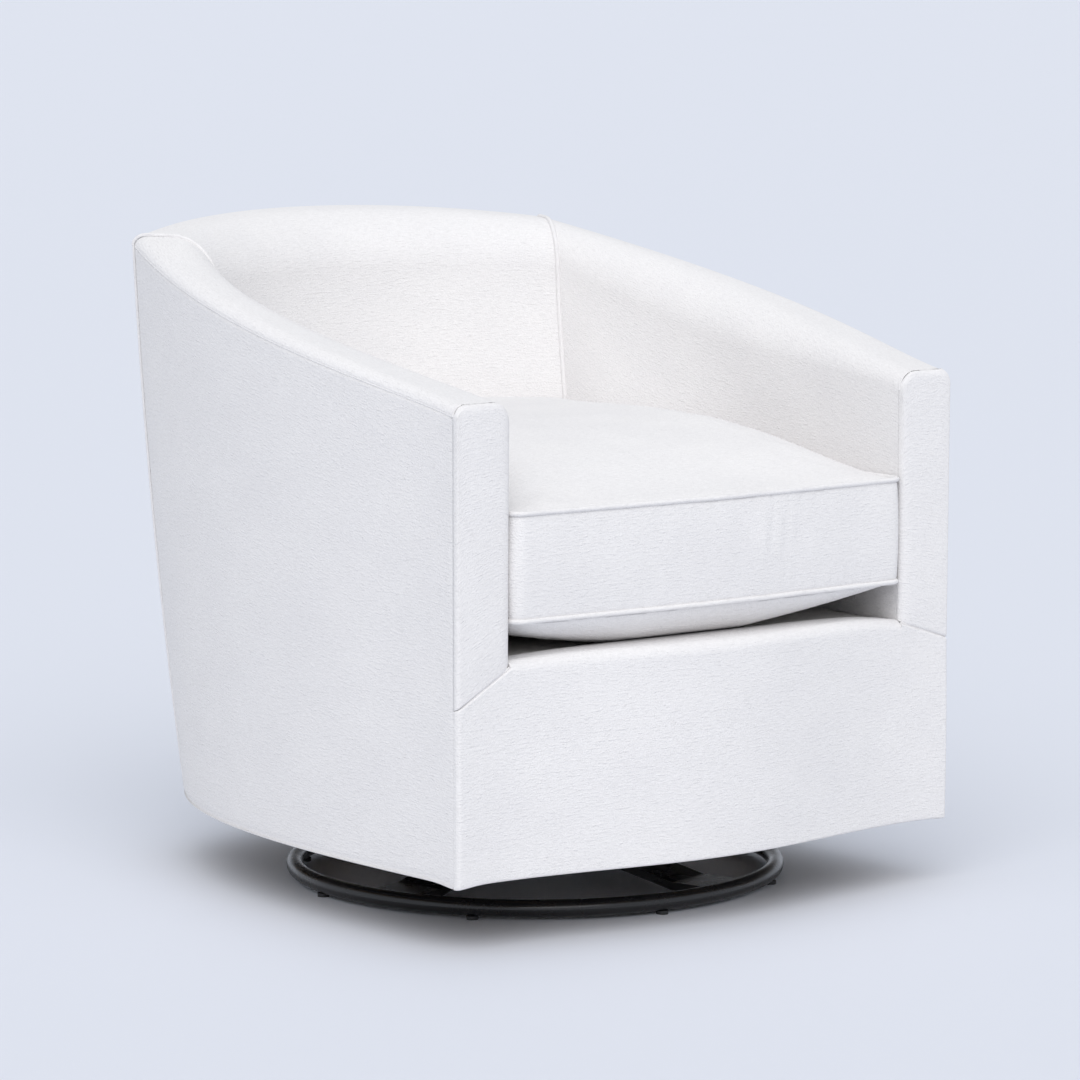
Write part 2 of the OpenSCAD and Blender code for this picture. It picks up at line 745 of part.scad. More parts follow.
module mount_boards() {
    y0 = front_at(board_x + mount_board_w) + facing_t + butt_gap;
    q = in_wall(1.5, board_low_h, timber_out);
    color(wood) both_sides() difference() {
        block([board_x, y0, board_low_h], [board_x + mount_board_w, q[1] - board_t / 2, board_top_h]);
        at_pivots(board_low_h) translate([screw_x, 0, -over])
            cylinder(r = screw_r + fit_gap, h = screw_len + over + fit_gap);
    }
}
module arm_posts() {
    color(wood) both_sides() post_space(0);
}
module front_seat_rail() {
    color(wood) front_rail(seat_rail_low_h, seat_rail_top_h);
}
module front_base_rail() {
    color(wood) front_rail(base_rail_low_h, base_rail_low_h + base_rail_h);
}
module side_seat_rails() {
    color(wood) both_sides() side_rail(seat_rail_low_h, seat_rail_top_h);
}
module side_base_rails() {
    color(wood) both_sides() side_rail(base_rail_low_h, base_rail_low_h + base_rail_h);
}
module back_seat_rail() {
    color(wood) back_rail(seat_rail_low_h, seat_rail_top_h);
}
module back_base_rail() {
    color(wood) back_rail(base_rail_low_h, base_rail_low_h + base_rail_h);
}
module back_tack_rail() {
    color(wood) back_rail(tuck_h + soft_gap, tuck_h + soft_gap + board_t);
}
module back_posts() {
    color(wood) both_sides()
        back_post_space(0, 0, base_rail_low_h, seam_z(post_from_share) - top_rail_t - 4 * fit_gap);
}
module arm_top_rails() {
    color(wood) both_sides() top_rail(cover_side);
}
module back_top_rail() {
    color(wood) top_rail(cover_back);
}

/* Springs and deck */
spring_pitch = (seat_w - 2 * spring_margin) / (spring_count - 1);
spring_loop = 1.6 * spring_half_w;
spring_z = seat_rail_top_h + wire_r;
shelf_y = arm_y + shelf_d;
clip_w = 5 * wire_r;
deck_pad_z = spring_z + wire_r + soft_gap;
deck_cloth_z = deck_pad_z + deck_pad_t + soft_gap;
deck_top_h = deck_cloth_z + cloth_t;
strap_half_share = 0.07;
strap_t = 1.5;

function spring_x(i) = (i - (spring_count - 1) / 2) * spring_pitch;
function spring_front_y(x) = front_at(x) + facing_t + butt_gap + board_t / 2;
function spring_back_y(x) =
    let (half_w = mix(hem_line[0][3][0], top_line[0][3][0], 1 / 3))
    in_wall(2 - x / half_w, seat_rail_top_h, (timber_in + timber_out) / 2)[1];

// A zigzag wire between two places on the front and the back rail
module zigzag(y0, y1) {
    n = round((y1 - y0) / spring_loop);
    s = (y1 - y0) / n;
    tube(concat(
        [[-spring_half_w, y0, 0]],
        [for (k = [0:n - 1], a = [-90:60:90]) let (side = k % 2 == 0 ? 1 : -1)
            [side * (spring_half_w + s / 2 * cos(a)), y0 + (k + 0.5) * s + s / 2 * sin(a), 0]],
        [[(n % 2 == 0 ? 1 : -1) * spring_half_w, y1, 0]]
    ), wire_r, 6, [0, 0, 1]);
}
module clip() {
    difference() {
        translate([-clip_w, -clip_w / 2, -wire_r]) cube([2 * clip_w, clip_w, 3 * wire_r]);
        pin_x(-2 * clip_w, 2 * clip_w, wire_r + fit_gap);
    }
}
// The flat outline of the seat well, some way inside its covers, behind the front shelf
module well_plate(room, z, t) {
    translate([0, 0, z]) linear_extrude(t) intersection() {
        polygon(concat(
            [for (p = side_stations) well_at(p, room)],
            [for (i = [1:back_steps]) well_at(mix(1, 3, i / back_steps), room)],
            [for (i = [side_steps - 1:-1:0]) let (q = well_at(i / side_steps, room)) [-q[0], q[1]]]
        ));
        translate([-arm_w, shelf_y + soft_gap]) square(2 * [arm_w, body_d]);
    }
}

module seat_springs() {
    color([0.4, 0.4, 0.42]) for (i = [0:spring_count - 1])
        let (x = spring_x(i))
            translate([x, 0, spring_z]) zigzag(spring_front_y(x), spring_back_y(x));
}
module spring_clips() {
    color([0.7, 0.7, 0.72]) for (i = [0:spring_count - 1])
        let (x = spring_x(i))
            for (y = [spring_front_y(x), spring_back_y(x)]) translate([x, y, spring_z]) clip();
}
module deck_pad() {
    color([0.85, 0.85, 0.83]) well_plate(4 * soft_gap, deck_pad_z, deck_pad_t);
}
module deck_cloth() {
    color([0.82, 0.81, 0.8]) well_plate(4 * soft_gap, deck_cloth_z, cloth_t);
}
// Straps up the inside back, from the tack rail to the top rail
module back_webbing() {
    low_z = tuck_h + soft_gap + board_t / 4;
    color([0.3, 0.3, 0.32]) for (c = [1.3, 1.65, 2, 2.35, 2.7])
        loft([for (i = [0:wall_steps])
            let (z = mix(low_z, seam_z(c) - top_rail_t, i / wall_steps), d = timber_out + 3 * butt_gap) [
                in_wall(c - strap_half_share, z, d), in_wall(c + strap_half_share, z, d),
                in_wall(c + strap_half_share, z, d + strap_t), in_wall(c - strap_half_share, z, d + strap_t)
            ]]);
}
module dust_cover() {
    d = outer_t + timber_gap;
    function edge(p) = let (q = in_wall(p, dust_z, d)) [q[0], q[1]];
    color([0.12, 0.12, 0.12]) difference() {
        translate([0, 0, dust_z]) linear_extrude(cloth_t) polygon(concat(
            [for (i = [0:back_steps]) let (x = mix(-arm_w / 2 + d, arm_w / 2 - d, i / back_steps))
                [x, front_at(x) + facing_t + soft_gap]],
            [for (i = [1:side_steps]) edge(i / side_steps)],
            [for (i = [1:back_steps - 1]) edge(mix(1, 3, i / back_steps))],
            [for (i = [side_steps:-1:1]) let (q = edge(i / side_steps)) [-q[0], q[1]]]
        ));
        both_sides() post_space(outer_t / 2);
        both_sides() back_post_space(outer_t / 2, 2 * seam_share, dust_z - over, dust_z + cloth_t + over);
    }
}

/* Foam */
foam_t = 25;
foam_in = inner_t + 4 * soft_gap;
foam_side = [for (i = [0:side_steps]) mix(foam_from_share, 1 - 2 * side_seam_share, i / side_steps)];
foam_back = [for (i = [0:back_steps])
    mix(1 + 2 * back_seam_share, 3 - 2 * back_seam_share, i / back_steps)];

// Padding that wraps over the top rail and runs down the inside to the deck. Its outer side is
// the cover's line set in. Its rear lies on the top rail, then slopes and runs down behind it.
function foam_floor(p) = seam_z(p) + 3 * soft_gap;
function foam_skin(p) =
    let (skin = over_top(p, foam_in, tuck_h))
    concat([at_depth(p, foam_in, foam_floor(p))], [for (k = [1:len(skin) - 1]) skin[k]]);
function foam_rear(p) =
    let (
        w = wall_w(p) - foam_in - foam_t,
        rail_end = timber_out + 3 * soft_gap,
        l = lean(p),
        z = foam_floor(p),
        n = roll_steps + shoulder_steps + 1,
        m = shoulder_steps + 1,
        skin = over_top(p, foam_in, tuck_h)
    )
    concat(
        [for (k = [0:roll_steps]) at_depth(p, mix(2 * foam_in, rail_end, k / roll_steps), z)],
        [for (k = [1:m]) at_depth(p, mix(rail_end, w, k / m), mix(z, skin[n][2], k / m))],
        [at_depth(p, w + l * lean_mid_in_share, skin[n + 1][2]),
         at_depth(p, w + l, lean_h),
         at_depth(p, w + l, tuck_h)]
    );
module padding(stations) {
    sheet([for (p = stations) foam_skin(p)], [for (p = stations) foam_rear(p)]);
}
foam_color = [0.93, 0.9, 0.75];
module right_arm_foam() {
    color(foam_color) padding(foam_side);
}
module left_arm_foam() {
    color(foam_color) mirror([1, 0, 0]) padding(foam_side);
}
module back_foam() {
    color(foam_color) padding(foam_back);
}
module front_edge_foam() {
    x1 = seat_w / 2 - soft_gap;
    color(foam_color) loft([for (i = [0:front_steps])
        let (x = mix(-x1, x1, i / front_steps), f = front_at(x), z = rail_top(x)) [
            [x, f + facing_t + soft_gap, tuck_h], [x, f + facing_t + soft_gap, z - rail_roll],
            [x, f + rail_roll, z - foam_in], [x, shelf_y - foam_in, z - foam_in],
            [x, shelf_y - foam_in, tuck_h]
        ]]);
}

/* Covers */
cloth = [0.9, 0.885, 0.86];

// An outside cover between hem and top seam
module outer_cover(stations) {
    function grid(d) = [for (p = stations) [for (k = [0:wall_steps])
        in_wall(p, mix(hem_h, seam_z(p) - soft_gap, k / wall_steps), d)]];
    color(cloth) sheet(grid(0), grid(outer_t));
}
// An inside cover from the top seam over the padded top and down to the deck
module over_cover(stations) {
    color(cloth) sheet(
        [for (p = stations) over_top(p, 0, tuck_h)],
        [for (p = stations) over_top(p, inner_t, tuck_h)]
    );
}
module outside_right_cover() {
    outer_cover(cover_side);
}
module outside_left_cover() {
    mirror([1, 0, 0]) outer_cover(cover_side);
}
module outside_back_cover() {
    outer_cover(cover_back);
}
module inside_right_cover() {
    over_cover(cover_side);
}
module inside_left_cover() {
    mirror([1, 0, 0]) over_cover(cover_side);
}
module inside_back_cover() {
    over_cover(cover_back);
}

module arm_facing() {
    color(cloth) translate([0, arm_y + facing_t, 0]) rotate([90, 0, 0]) linear_extrude(facing_t)
        polygon(concat(
            [[arm_w / 2, mitre_out_h + soft_gap]],
            [for (q = over_top(0, 0, mitre_in_h + soft_gap)) [q[0], q[2]]]
        ));
}
module right_arm_facing() {
    arm_facing();
}
module left_arm_facing() {
    mirror([1, 0, 0]) arm_facing();
}

// Front rail cover: a panel across the front whose middle rolls back over the rail as a shelf
function shelf_line(x, in_y, in_z) =
    let (f = front_at(x), z = rail_top(x))
    concat(
        [[x, f + in_y, hem_h], [x, f + in_y, mix(hem_h, rail_h, 0.5)]],
        [for (k = [0:roll_steps]) let (a = 90 * k / roll_steps)
            [x, f + rail_roll - (rail_roll - in_y) * cos(a), z - rail_roll + (rail_roll - in_z) * sin(a)]],
        [[x, shelf_y - in_z, z - in_z], [x, shelf_y - in_z, tuck_h]]
    );
function panel_line(x, x0, in_y) =
    let (z = mix(mitre_in_h, mitre_out_h, (x - x0) / (arm_w / 2 - x0)) - soft_gap)
    [for (k = [0:2]) [x, front_at(x) + in_y, mix(hem_h, z, k / 2)]];
module front_rail_cover() {
    x1 = seat_w / 2 - soft_gap;
    color(cloth) {
        sheet(
            [for (i = [0:front_steps]) shelf_line(mix(-x1, x1, i / front_steps), 0, 0)],
            [for (i = [0:front_steps]) shelf_line(mix(-x1, x1, i / front_steps), facing_t, inner_t)]
        );
        both_sides() sheet(
            [for (i = [0:roll_steps]) panel_line(mix(x1, arm_w / 2, i / roll_steps), x1, 0)],
            [for (i = [0:roll_steps]) panel_line(mix(x1, arm_w / 2, i / roll_steps), x1, facing_t)]
        );
    }
}

// Welts in the corner seams of the back, inside and out
inner_welt_r = 0.7 * welt_r;
outer_welt_r = 0.85 * welt_r;
module back_seam_welts() {
    color(cloth) both_sides() {
        tube(over_top(1, inner_welt_r / 2, tuck_h), inner_welt_r, 6, [1, -0.4, 0]);
        tube([for (k = [0:wall_steps])
            in_wall(1, mix(hem_h + welt_r, corner_h - 2 * welt_r, k / wall_steps), outer_welt_r / 2)],
            outer_welt_r, 6, [1, 0, 0]);
    }
}

/* Cushion forms */
side_room = 2;
back_room = 7;
seam_in = welt_r / 2 + welt_r + soft_gap;
boxing_in = welt_r + soft_gap;
cushion_y = arm_y + soft_gap;
cushion_seam_h = deck_top_h + cushion_belly_h;
top_seam_h = cushion_seam_h + boxing_h;
top_front_run = 300;
low_front_run = 110;
low_side_run = 200;
ring_shares = [0, 0.035, 0.09, 0.2, 0.4, 0.7];
cushion_mid = [0, swivel_y];

function room_at(p) = mix(side_room, back_room, eased(min(p, 4 - p) * 2 - 1));
cushion_right = concat(
    [for (i = [0:5]) let (x = mix(0, seat_w / 2 - side_room - 1, sin(90 * i / 6)))
        [x, cushion_y - cushion_bow * pow(cos(90 * x / (seat_w / 2)), 2)]],
    [for (i = [0:11]) well_at(mix(0.01, 0.94, i / 11), room_at(mix(0.01, 0.94, i / 11)))],
    [for (i = [0:6]) well_at(mix(1.12, 1.9, i / 6), room_at(mix(1.12, 1.9, i / 6)))]
);
half_count = len(cushion_right);
// The outline runs from the middle of the front round the right side to the back and home
outline = concat(
    cushion_right,
    [for (k = [half_count - 1:-1:1]) [-cushion_right[k][0], cushion_right[k][1]]]
);
function inset_at(k, d) =
    let (
        n = len(outline),
        t = outline[(k + 1) % n] - outline[(k + n - 1) % n]
    )
    outline[k] + unit([-t[1], t[0]]) * d;
function front_depth(q) = q[1] - cushion_y + cushion_bow;
function side_depth(q) = seat_w / 2 - side_room - abs(q[0]);
function dome(t) = let (c = 1 - clamp(t)) sqrt(1 - c * c);
function swell(t) = let (c = 1 - clamp(t)) 1 - c * c;
function top_z(q, run) =
    top_seam_h + crown_h * sin(90 * clamp(front_depth(q) / top_front_run)) * swell(run / crown_run);
function low_z(q, s) =
    cushion_seam_h - (cushion_seam_h - deck_top_h - soft_gap) * dome(front_depth(q) / low_front_run)
        * pow(clamp(side_depth(q) / low_side_run), 0.6) * dome(s * 12);

// Rings of points from the seam inwards over a panel of the cushion, at a depth d and edge_d under its face
function panel_rings(high, inset, d, edge_d) = [for (s = ring_shares) [for (k = [0:len(outline) - 1])
    let (
        e = inset_at(k, inset),
        q = mix(e, cushion_mid, s),
        in_d = s > 0 ? d : edge_d
    )
        [q[0], q[1], high ? top_z(q, s * norm(e - cushion_mid)) - in_d : low_z(q, s) + in_d]]];
function panel_mid(high, d) =
    [cushion_mid[0], cushion_mid[1], high ? top_z(cushion_mid, crown_run) - d : low_z(cushion_mid, 1) + d];

// A closed solid through rings, ending in a point at each end
module capped(rings, first, last) {
    n = len(rings);
    m = len(rings[0]);
    a = n * m;
    f = concat(
        [for (i = [0:n - 2], k = [0:m - 1]) let (j = i + 1, l = (k + 1) % m) each
            two(i * m + k, i * m + l, j * m + l, j * m + k)],
        [for (k = [0:m - 1]) [a, (k + 1) % m, k]],
        [for (k = [0:m - 1]) [a + 1, (n - 1) * m + k, (n - 1) * m + (k + 1) % m]]
    );
    closed_solid(concat(flat_list(rings), [first, last]), f);
}
module cushion_panel(high) {
    color(cloth) capped(
        concat(backwards(panel_rings(high, seam_in, 0, 0)), panel_rings(high, seam_in + cover_t, cover_t, 0)),
        panel_mid(high, 0), panel_mid(high, cover_t)
    );
}
module cushion_top_panel() {
    cushion_panel(true);
}
module cushion_bottom_panel() {
    cushion_panel(false);
}
module cushion_core() {
    d = cover_t + 7 * soft_gap;
    core_in = seam_in + 2 * cover_t;
    lip_d = 2 * soft_gap;
    color(foam_color) capped(
        concat(backwards(panel_rings(false, core_in, d, lip_d)), panel_rings(true, core_in, d, lip_d)),
        panel_mid(false, d), panel_mid(true, d)
    );
}
module cushion_boxing() {
    function ring(k) = [for (e = [[0, 0], [0, 0.5], [0, 1], [cover_t, 1], [cover_t, 0.5], [cover_t, 0]])
        let (q = inset_at(k, e[0]))
            [q[0], q[1], mix(cushion_seam_h + boxing_in, top_seam_h - boxing_in, e[1])]];
    color(cloth) loft([for (k = [0:len(outline) - 1]) ring(k)], true);
}
module cushion_welts() {
    color(cloth) for (z = [cushion_seam_h, top_seam_h])
        tube([for (k = [0:len(outline) - 1]) let (q = inset_at(k, welt_r / 2 + fit_gap)) [q[0], q[1], z]],
            welt_r, 6, [0, 0, 1], true);
}
module cushion_zipper() {
    function strip(d) = [for (i = [0:back_steps])
        let (p = mix(1.4, 2.6, i / back_steps), q = well_at(p, back_room - d)) [for (k = [-1, 1])
            [q[0], q[1], cushion_seam_h + boxing_h / 2 + k * 3 * cover_t]]];
    color([0.85, 0.84, 0.82]) sheet(strip(cover_t), strip(cover_t / 4));
}

base_ring();
base_arm_long();
base_arm_halves();
floor_glides();
lower_race();
pivot_bolt();
upper_race();
bearing_balls();
ball_cage();
swivel_plate();
hanger_plates();
pivot_nut();
upper_pivot_pins();
stop_bumpers();
link_front_left();
link_front_right();
link_rear_left();
link_rear_right();
seat_mount_left();
seat_mount_right();
lower_pivot_pins();
mount_screws();
mount_boards();
arm_posts();
front_seat_rail();
front_base_rail();
side_seat_rails();
side_base_rails();
back_seat_rail();
back_base_rail();
back_tack_rail();
back_posts();
arm_top_rails();
back_top_rail();
seat_springs();
spring_clips();
deck_pad();
deck_cloth();
back_webbing();
dust_cover();
left_arm_foam();
right_arm_foam();
back_foam();
front_edge_foam();
outside_left_cover();
outside_right_cover();
outside_back_cover();
inside_left_cover();
inside_right_cover();
inside_back_cover();
left_arm_facing();
right_arm_facing();
front_rail_cover();
back_seam_welts();
cushion_core();
cushion_top_panel();
cushion_bottom_panel();
cushion_boxing();
cushion_welts();
cushion_zipper();
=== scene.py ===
import json
import math
import bpy
import bmesh
import numpy as np
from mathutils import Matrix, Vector, noise


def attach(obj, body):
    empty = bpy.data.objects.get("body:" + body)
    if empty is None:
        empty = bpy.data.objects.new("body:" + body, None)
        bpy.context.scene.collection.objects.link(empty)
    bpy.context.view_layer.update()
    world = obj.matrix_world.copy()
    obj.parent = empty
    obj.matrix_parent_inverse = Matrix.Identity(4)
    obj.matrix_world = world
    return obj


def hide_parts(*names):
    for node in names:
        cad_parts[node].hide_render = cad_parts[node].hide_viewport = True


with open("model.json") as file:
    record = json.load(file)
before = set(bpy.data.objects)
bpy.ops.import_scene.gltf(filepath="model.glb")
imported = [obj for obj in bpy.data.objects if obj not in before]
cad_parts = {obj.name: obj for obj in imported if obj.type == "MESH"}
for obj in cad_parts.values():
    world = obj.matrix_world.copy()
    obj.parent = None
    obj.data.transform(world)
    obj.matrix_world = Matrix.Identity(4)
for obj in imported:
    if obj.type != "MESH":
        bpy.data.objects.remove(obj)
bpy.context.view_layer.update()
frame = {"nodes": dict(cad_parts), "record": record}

scene = bpy.context.scene

# Camera, fitted to the photograph: it stands at an azimuth round the swivel axis
SWIVEL_Y = -60.0
CAM_AZ, CAM_DOWN, CAM_YAW = math.radians(-37.074), math.radians(7.339), -0.001
CAM_DIST, CAM_H = 5.53132, 1.089071
SENSOR, FOCAL_PX, FRAME_PX = 36.0, 5000.0, 1080.0
cam_data = bpy.data.cameras.new("camera")
cam_data.sensor_width = SENSOR
cam_data.lens = FOCAL_PX / FRAME_PX * SENSOR
cam = bpy.data.objects.new("camera", cam_data)
scene.collection.objects.link(cam)
cam.location = (math.sin(CAM_AZ) * CAM_DIST, -math.cos(CAM_AZ) * CAM_DIST + SWIVEL_Y / 1000, CAM_H)
cam.rotation_euler = (math.pi / 2 - CAM_DOWN, 0, CAM_AZ + CAM_YAW)
scene.camera = cam

# Sizes of the source, in mm
BODY_D, ARM_W, BACK_BOW, FRONT_BOW = 816.0, 674.0, 93.0, 34.0
HEM_H, BELLY = 72.0, 0.49
ARM_H, CORNER_H, BACK_H, CROWN, DROP = 561.0, 697.0, 715.0, 12.0, 15.0
ROLL_F, ROLL_B, SHO_F, SHO_B = 13.0, 20.0, 20.0, 60.0
SEAT_W, LEAN, LEAN_H = 536.0, 40.0, 490.0
RAIL_H, RAIL_ROLL, MITRE_IN, SHELF_D = 306.0, 13.0, 296.0, 38.0
MITRE_OUT = {1: 273.5, -1: 256.5}
FACING_T, OUTER_T, INNER_T = 8.0, 4.0, 3.0
SOFT_GAP = 0.4
TUCK_H = 286.0
RAIL_HALF = SEAT_W / 2 - SOFT_GAP
DECK_TOP = 298.2
BOX_LOW, BOX_H, CROWN_H, CROWN_RUN, CUSHION_BOW = 343.5, 112.0, 62.0, 130.0, 10.0

ARM_Y = -BODY_D / 2 + FRONT_BOW
SIDE_Y = ARM_Y + FACING_T + SOFT_GAP
CORNER_Y = BODY_D / 2 - BACK_BOW
SHELF_Y = ARM_Y + SHELF_D
TOP = (np.array([[337, SIDE_Y], [333, SIDE_Y + 108], [425, CORNER_Y - 361], [286, CORNER_Y]]), 408.0)
HEM = (np.array([[337, SIDE_Y], [337, SIDE_Y + 108], [390, CORNER_Y - 219], [240, CORNER_Y - 26]]), 340.0)
WELL = (np.array([[268, SIDE_Y], [272, SIDE_Y + 108], [296, CORNER_Y - 305], [240, CORNER_Y - 102]]), 306.0)


def mix(a, b, t):
    return a + (b - a) * t


def clamp(t):
    return min(1.0, max(0.0, t))


def eased(t):
    t = clamp(t)
    return t * t * (3 - 2 * t)


def dome(t):
    return math.sqrt(max(0.0, 1 - (1 - clamp(t)) ** 2))


def line_at(line, p):
    """A point of a plan curve; p is 0 at the arm front, 1 and 3 at the back corners, 4 at the other front."""
    if p > 3:
        q = line_at(line, 4 - p)
        return np.array([-q[0], q[1]])
    q, mid = line
    if p <= 1:
        return (q[0] * (1 - p) ** 3 + 3 * q[1] * p * (1 - p) ** 2
                + 3 * q[2] * p * p * (1 - p) + q[3] * p ** 3)
    half, end = q[3]
    sag = mid - end
    r = (half * half + sag * sag) / (2 * sag)
    a = math.asin(half / r) * (2 - p)
    return np.array([r * math.sin(a), mid - r + r * math.cos(a)])


def to_middle(p):
    """0 at the back corners, 1 at the middle of the back."""
    return 1 - (2 - p) ** 2


def near(p):
    """The same place on the right half."""
    return min(p, 4 - p)


def seam_z(p):
    """Height of the outer top seam."""
    p = near(p) if p > 3 else p
    if p <= 1:
        return mix(ARM_H, CORNER_H, (line_at(TOP, p)[1] - SIDE_Y) / (CORNER_Y - SIDE_Y))
    return mix(CORNER_H, BACK_H, to_middle(p))


def inward(p):
    """Unit direction in plan from the outside towards the seat."""
    v = line_at(WELL, p) - line_at(TOP, p)
    return v / np.linalg.norm(v)


def wall_w(p):
    """Width of the padded top in plan."""
    return np.linalg.norm(line_at(WELL, p) - line_at(TOP, p))


def lean(p):
    """How much further in the inside stands at the seat than at the top."""
    return LEAN * eased((near(p) - 0.45) / 0.55)


def outer_at(p, z):
    """Plan point of the outside at a height."""
    v = (z - HEM_H) / (seam_z(p) - HEM_H)
    w = v + BELLY * v * (1 - v)
    return mix(line_at(HEM, p), line_at(TOP, p), w)


def in_wall(p, z, depth):
    """A point at a depth behind the outside."""
    q = outer_at(p, z) + inward(p) * depth
    return np.array([q[0], q[1], z])


def at_depth(p, depth, z):
    """A point at a depth behind the top seam's line."""
    q = line_at(TOP, p) + inward(p) * depth
    return np.array([q[0], q[1], z])


def over_top(p, inset, low, roll_n=9, sho_n=14, wall_n=16):
    """The line from the outer seam over the padded top and down the inside, set in by some depth."""
    w, z0, l = wall_w(p), seam_z(p), lean(p)
    ro = mix(ROLL_F, ROLL_B, eased(near(p)))
    ri = min(mix(SHO_F, SHO_B, eased(1.2 * near(p))), w - ro)
    drop = DROP * to_middle(p) if 1 < p < 3 else 0.0
    z1 = z0 + CROWN - ri
    zi = z1 - drop
    pts = []
    for k in range(roll_n + 1):
        a = math.pi / 2 * k / roll_n
        pts.append(at_depth(p, ro - (ro - inset) * math.cos(a), z0 + (CROWN - inset) * math.sin(a)))
    for k in range(sho_n + 1):
        a = math.pi / 2 * k / sho_n
        d = w - ri + (ri - inset) * math.sin(a)
        fall = drop * eased((d - ro) / (w - ro - inset))
        pts.append(at_depth(p, d, z1 + (ri - inset) * math.cos(a) - fall))
    for k in range(1, wall_n + 1):
        z = mix(zi, low, k / wall_n)
        t = clamp((zi - z) / (zi - LEAN_H))
        pts.append(at_depth(p, w - inset + l * mix(t ** 1.25, eased(t), t ** 4), z))
    return pts


def well_at(p, room):
    """Plan point beside the inside at seat height, some room away from it."""
    return line_at(TOP, p) + inward(p) * (wall_w(p) + lean(p) + room)


def front_at(x):
    """The bowed front of the rail panel, straight near the arms."""
    half = 0.89 * ARM_W / 2
    return ARM_Y - (FRONT_BOW * math.cos(math.pi / 2 * x / half) ** 2 if abs(x) < half else 0.0)


def rail_top(x):
    """The rail panel's top line, which dips a little at the arms."""
    dip = 7.0 if x > 0 else 4.0
    return RAIL_H - dip * clamp(abs(x) / (SEAT_W / 2)) ** 6


def wob(p, size, seed):
    """Smooth unevenness between -1 and 1, with lumps of about the given size in mm."""
    return noise.noise(Vector((p[0] / size + seed * 7.3, p[1] / size - seed * 3.1, p[2] / size + seed)))


# Materials. The weave's scales are lumps per metre, along the weft and across it
def shade(name, color, rough=0.5, metallic=0.0):
    m = bpy.data.materials.new(name)
    m.use_nodes = True
    b = m.node_tree.nodes["Principled BSDF"]
    b.inputs["Base Color"].default_value = (*color, 1)
    b.inputs["Roughness"].default_value = rough
    b.inputs["Metallic"].default_value = metallic
    return m, m.node_tree, b


def node(t, kind, **values):
    n = t.nodes.new(kind)
    for k, v in values.items():
        if k in n.inputs:
            n.inputs[k].default_value = v
        else:
            setattr(n, k, v)
    return n


def scaled(t, source, size):
    n = node(t, "ShaderNodeMapping")
    n.inputs["Scale"].default_value = size
    t.links.new(source, n.inputs["Vector"])
    return n.outputs["Vector"]


def noise_tex(t, vec, detail=3.0, rough=0.55):
    n = node(t, "ShaderNodeTexNoise", Scale=1.0, Detail=detail, Roughness=rough)
    t.links.new(vec, n.inputs["Vector"])
    return n.outputs["Fac"]


def ramp(t, fac, stops):
    n = t.nodes.new("ShaderNodeValToRGB")
    e = n.color_ramp.elements
    for k, (pos, col) in enumerate(stops):
        el = e[k] if k < 2 else e.new(pos)
        el.position = pos
        el.color = (*col, 1) if len(col) == 3 else col
    t.links.new(fac, n.inputs["Fac"])
    return n.outputs["Color"]


def grey(v):
    return (v, v, v)


def math_node(t, op, a, b):
    n = t.nodes.new("ShaderNodeMath")
    n.operation = op
    for k, v in enumerate((a, b)):
        if isinstance(v, (int, float)):
            n.inputs[k].default_value = v
        else:
            t.links.new(v, n.inputs[k])
    return n.outputs[0]


def bump(t, height, strength, dist, under=None):
    n = node(t, "ShaderNodeBump", Strength=strength, Distance=dist)
    t.links.new(height, n.inputs["Height"])
    if under is not None:
        t.links.new(under, n.inputs["Normal"])
    return n.outputs["Normal"]


def fabric(name, color, dark):
    """Ivory plain weave with thick and thin weft. UVs are in metres: U along the weft, V across it."""
    m, t, b = shade(name, color, 0.88)
    uv = node(t, "ShaderNodeUVMap", uv_map="weave").outputs["UV"]
    slubs = noise_tex(t, scaled(t, uv, (130, 540, 1)), 3.0, 0.6)
    threads = noise_tex(t, scaled(t, uv, (380, 1400, 1)), 2.0, 0.5)
    warps = noise_tex(t, scaled(t, uv, (1300, 170, 1)), 2.0, 0.5)
    pebble = noise_tex(t, scaled(t, uv, (400, 500, 1)), 2.0, 0.55)
    cloud = noise_tex(t, scaled(t, uv, (9, 14, 1)), 3.0, 0.6)
    thick = noise_tex(t, scaled(t, uv, (75, 380, 1)), 2.0, 0.5)
    thick = ramp(t, thick, [(0.5, grey(0.0)), (0.78, grey(1.0))])
    tone = math_node(t, "ADD", math_node(t, "MULTIPLY", slubs, 0.45), math_node(t, "MULTIPLY", threads, 0.2))
    tone = math_node(t, "ADD", tone, math_node(t, "MULTIPLY", warps, 0.15))
    tone = math_node(t, "ADD", tone, math_node(t, "MULTIPLY", pebble, 0.2))
    col = ramp(t, tone, [(0.36, dark), (0.6, color)])
    soft = node(t, "ShaderNodeMix", data_type="RGBA", blend_type="MULTIPLY")
    soft.inputs[0].default_value = 1.0
    t.links.new(col, soft.inputs[6])
    t.links.new(ramp(t, cloud, [(0.3, (0.965, 0.965, 0.97)), (0.7, grey(1.0))]), soft.inputs[7])
    t.links.new(soft.outputs[2], b.inputs["Base Color"])
    n0 = bump(t, pebble, 0.65, 0.0014)
    n1 = bump(t, thick, 0.5, 0.0008, n0)
    n2 = bump(t, slubs, 0.35, 0.0007, n1)
    n3 = bump(t, threads, 0.4, 0.0005, n2)
    n4 = bump(t, warps, 0.35, 0.0005, n3)
    t.links.new(n4, b.inputs["Normal"])
    b.inputs["Sheen Weight"].default_value = 0.12
    b.inputs["Sheen Roughness"].default_value = 0.5
    b.inputs["Specular IOR Level"].default_value = 0.2
    return m


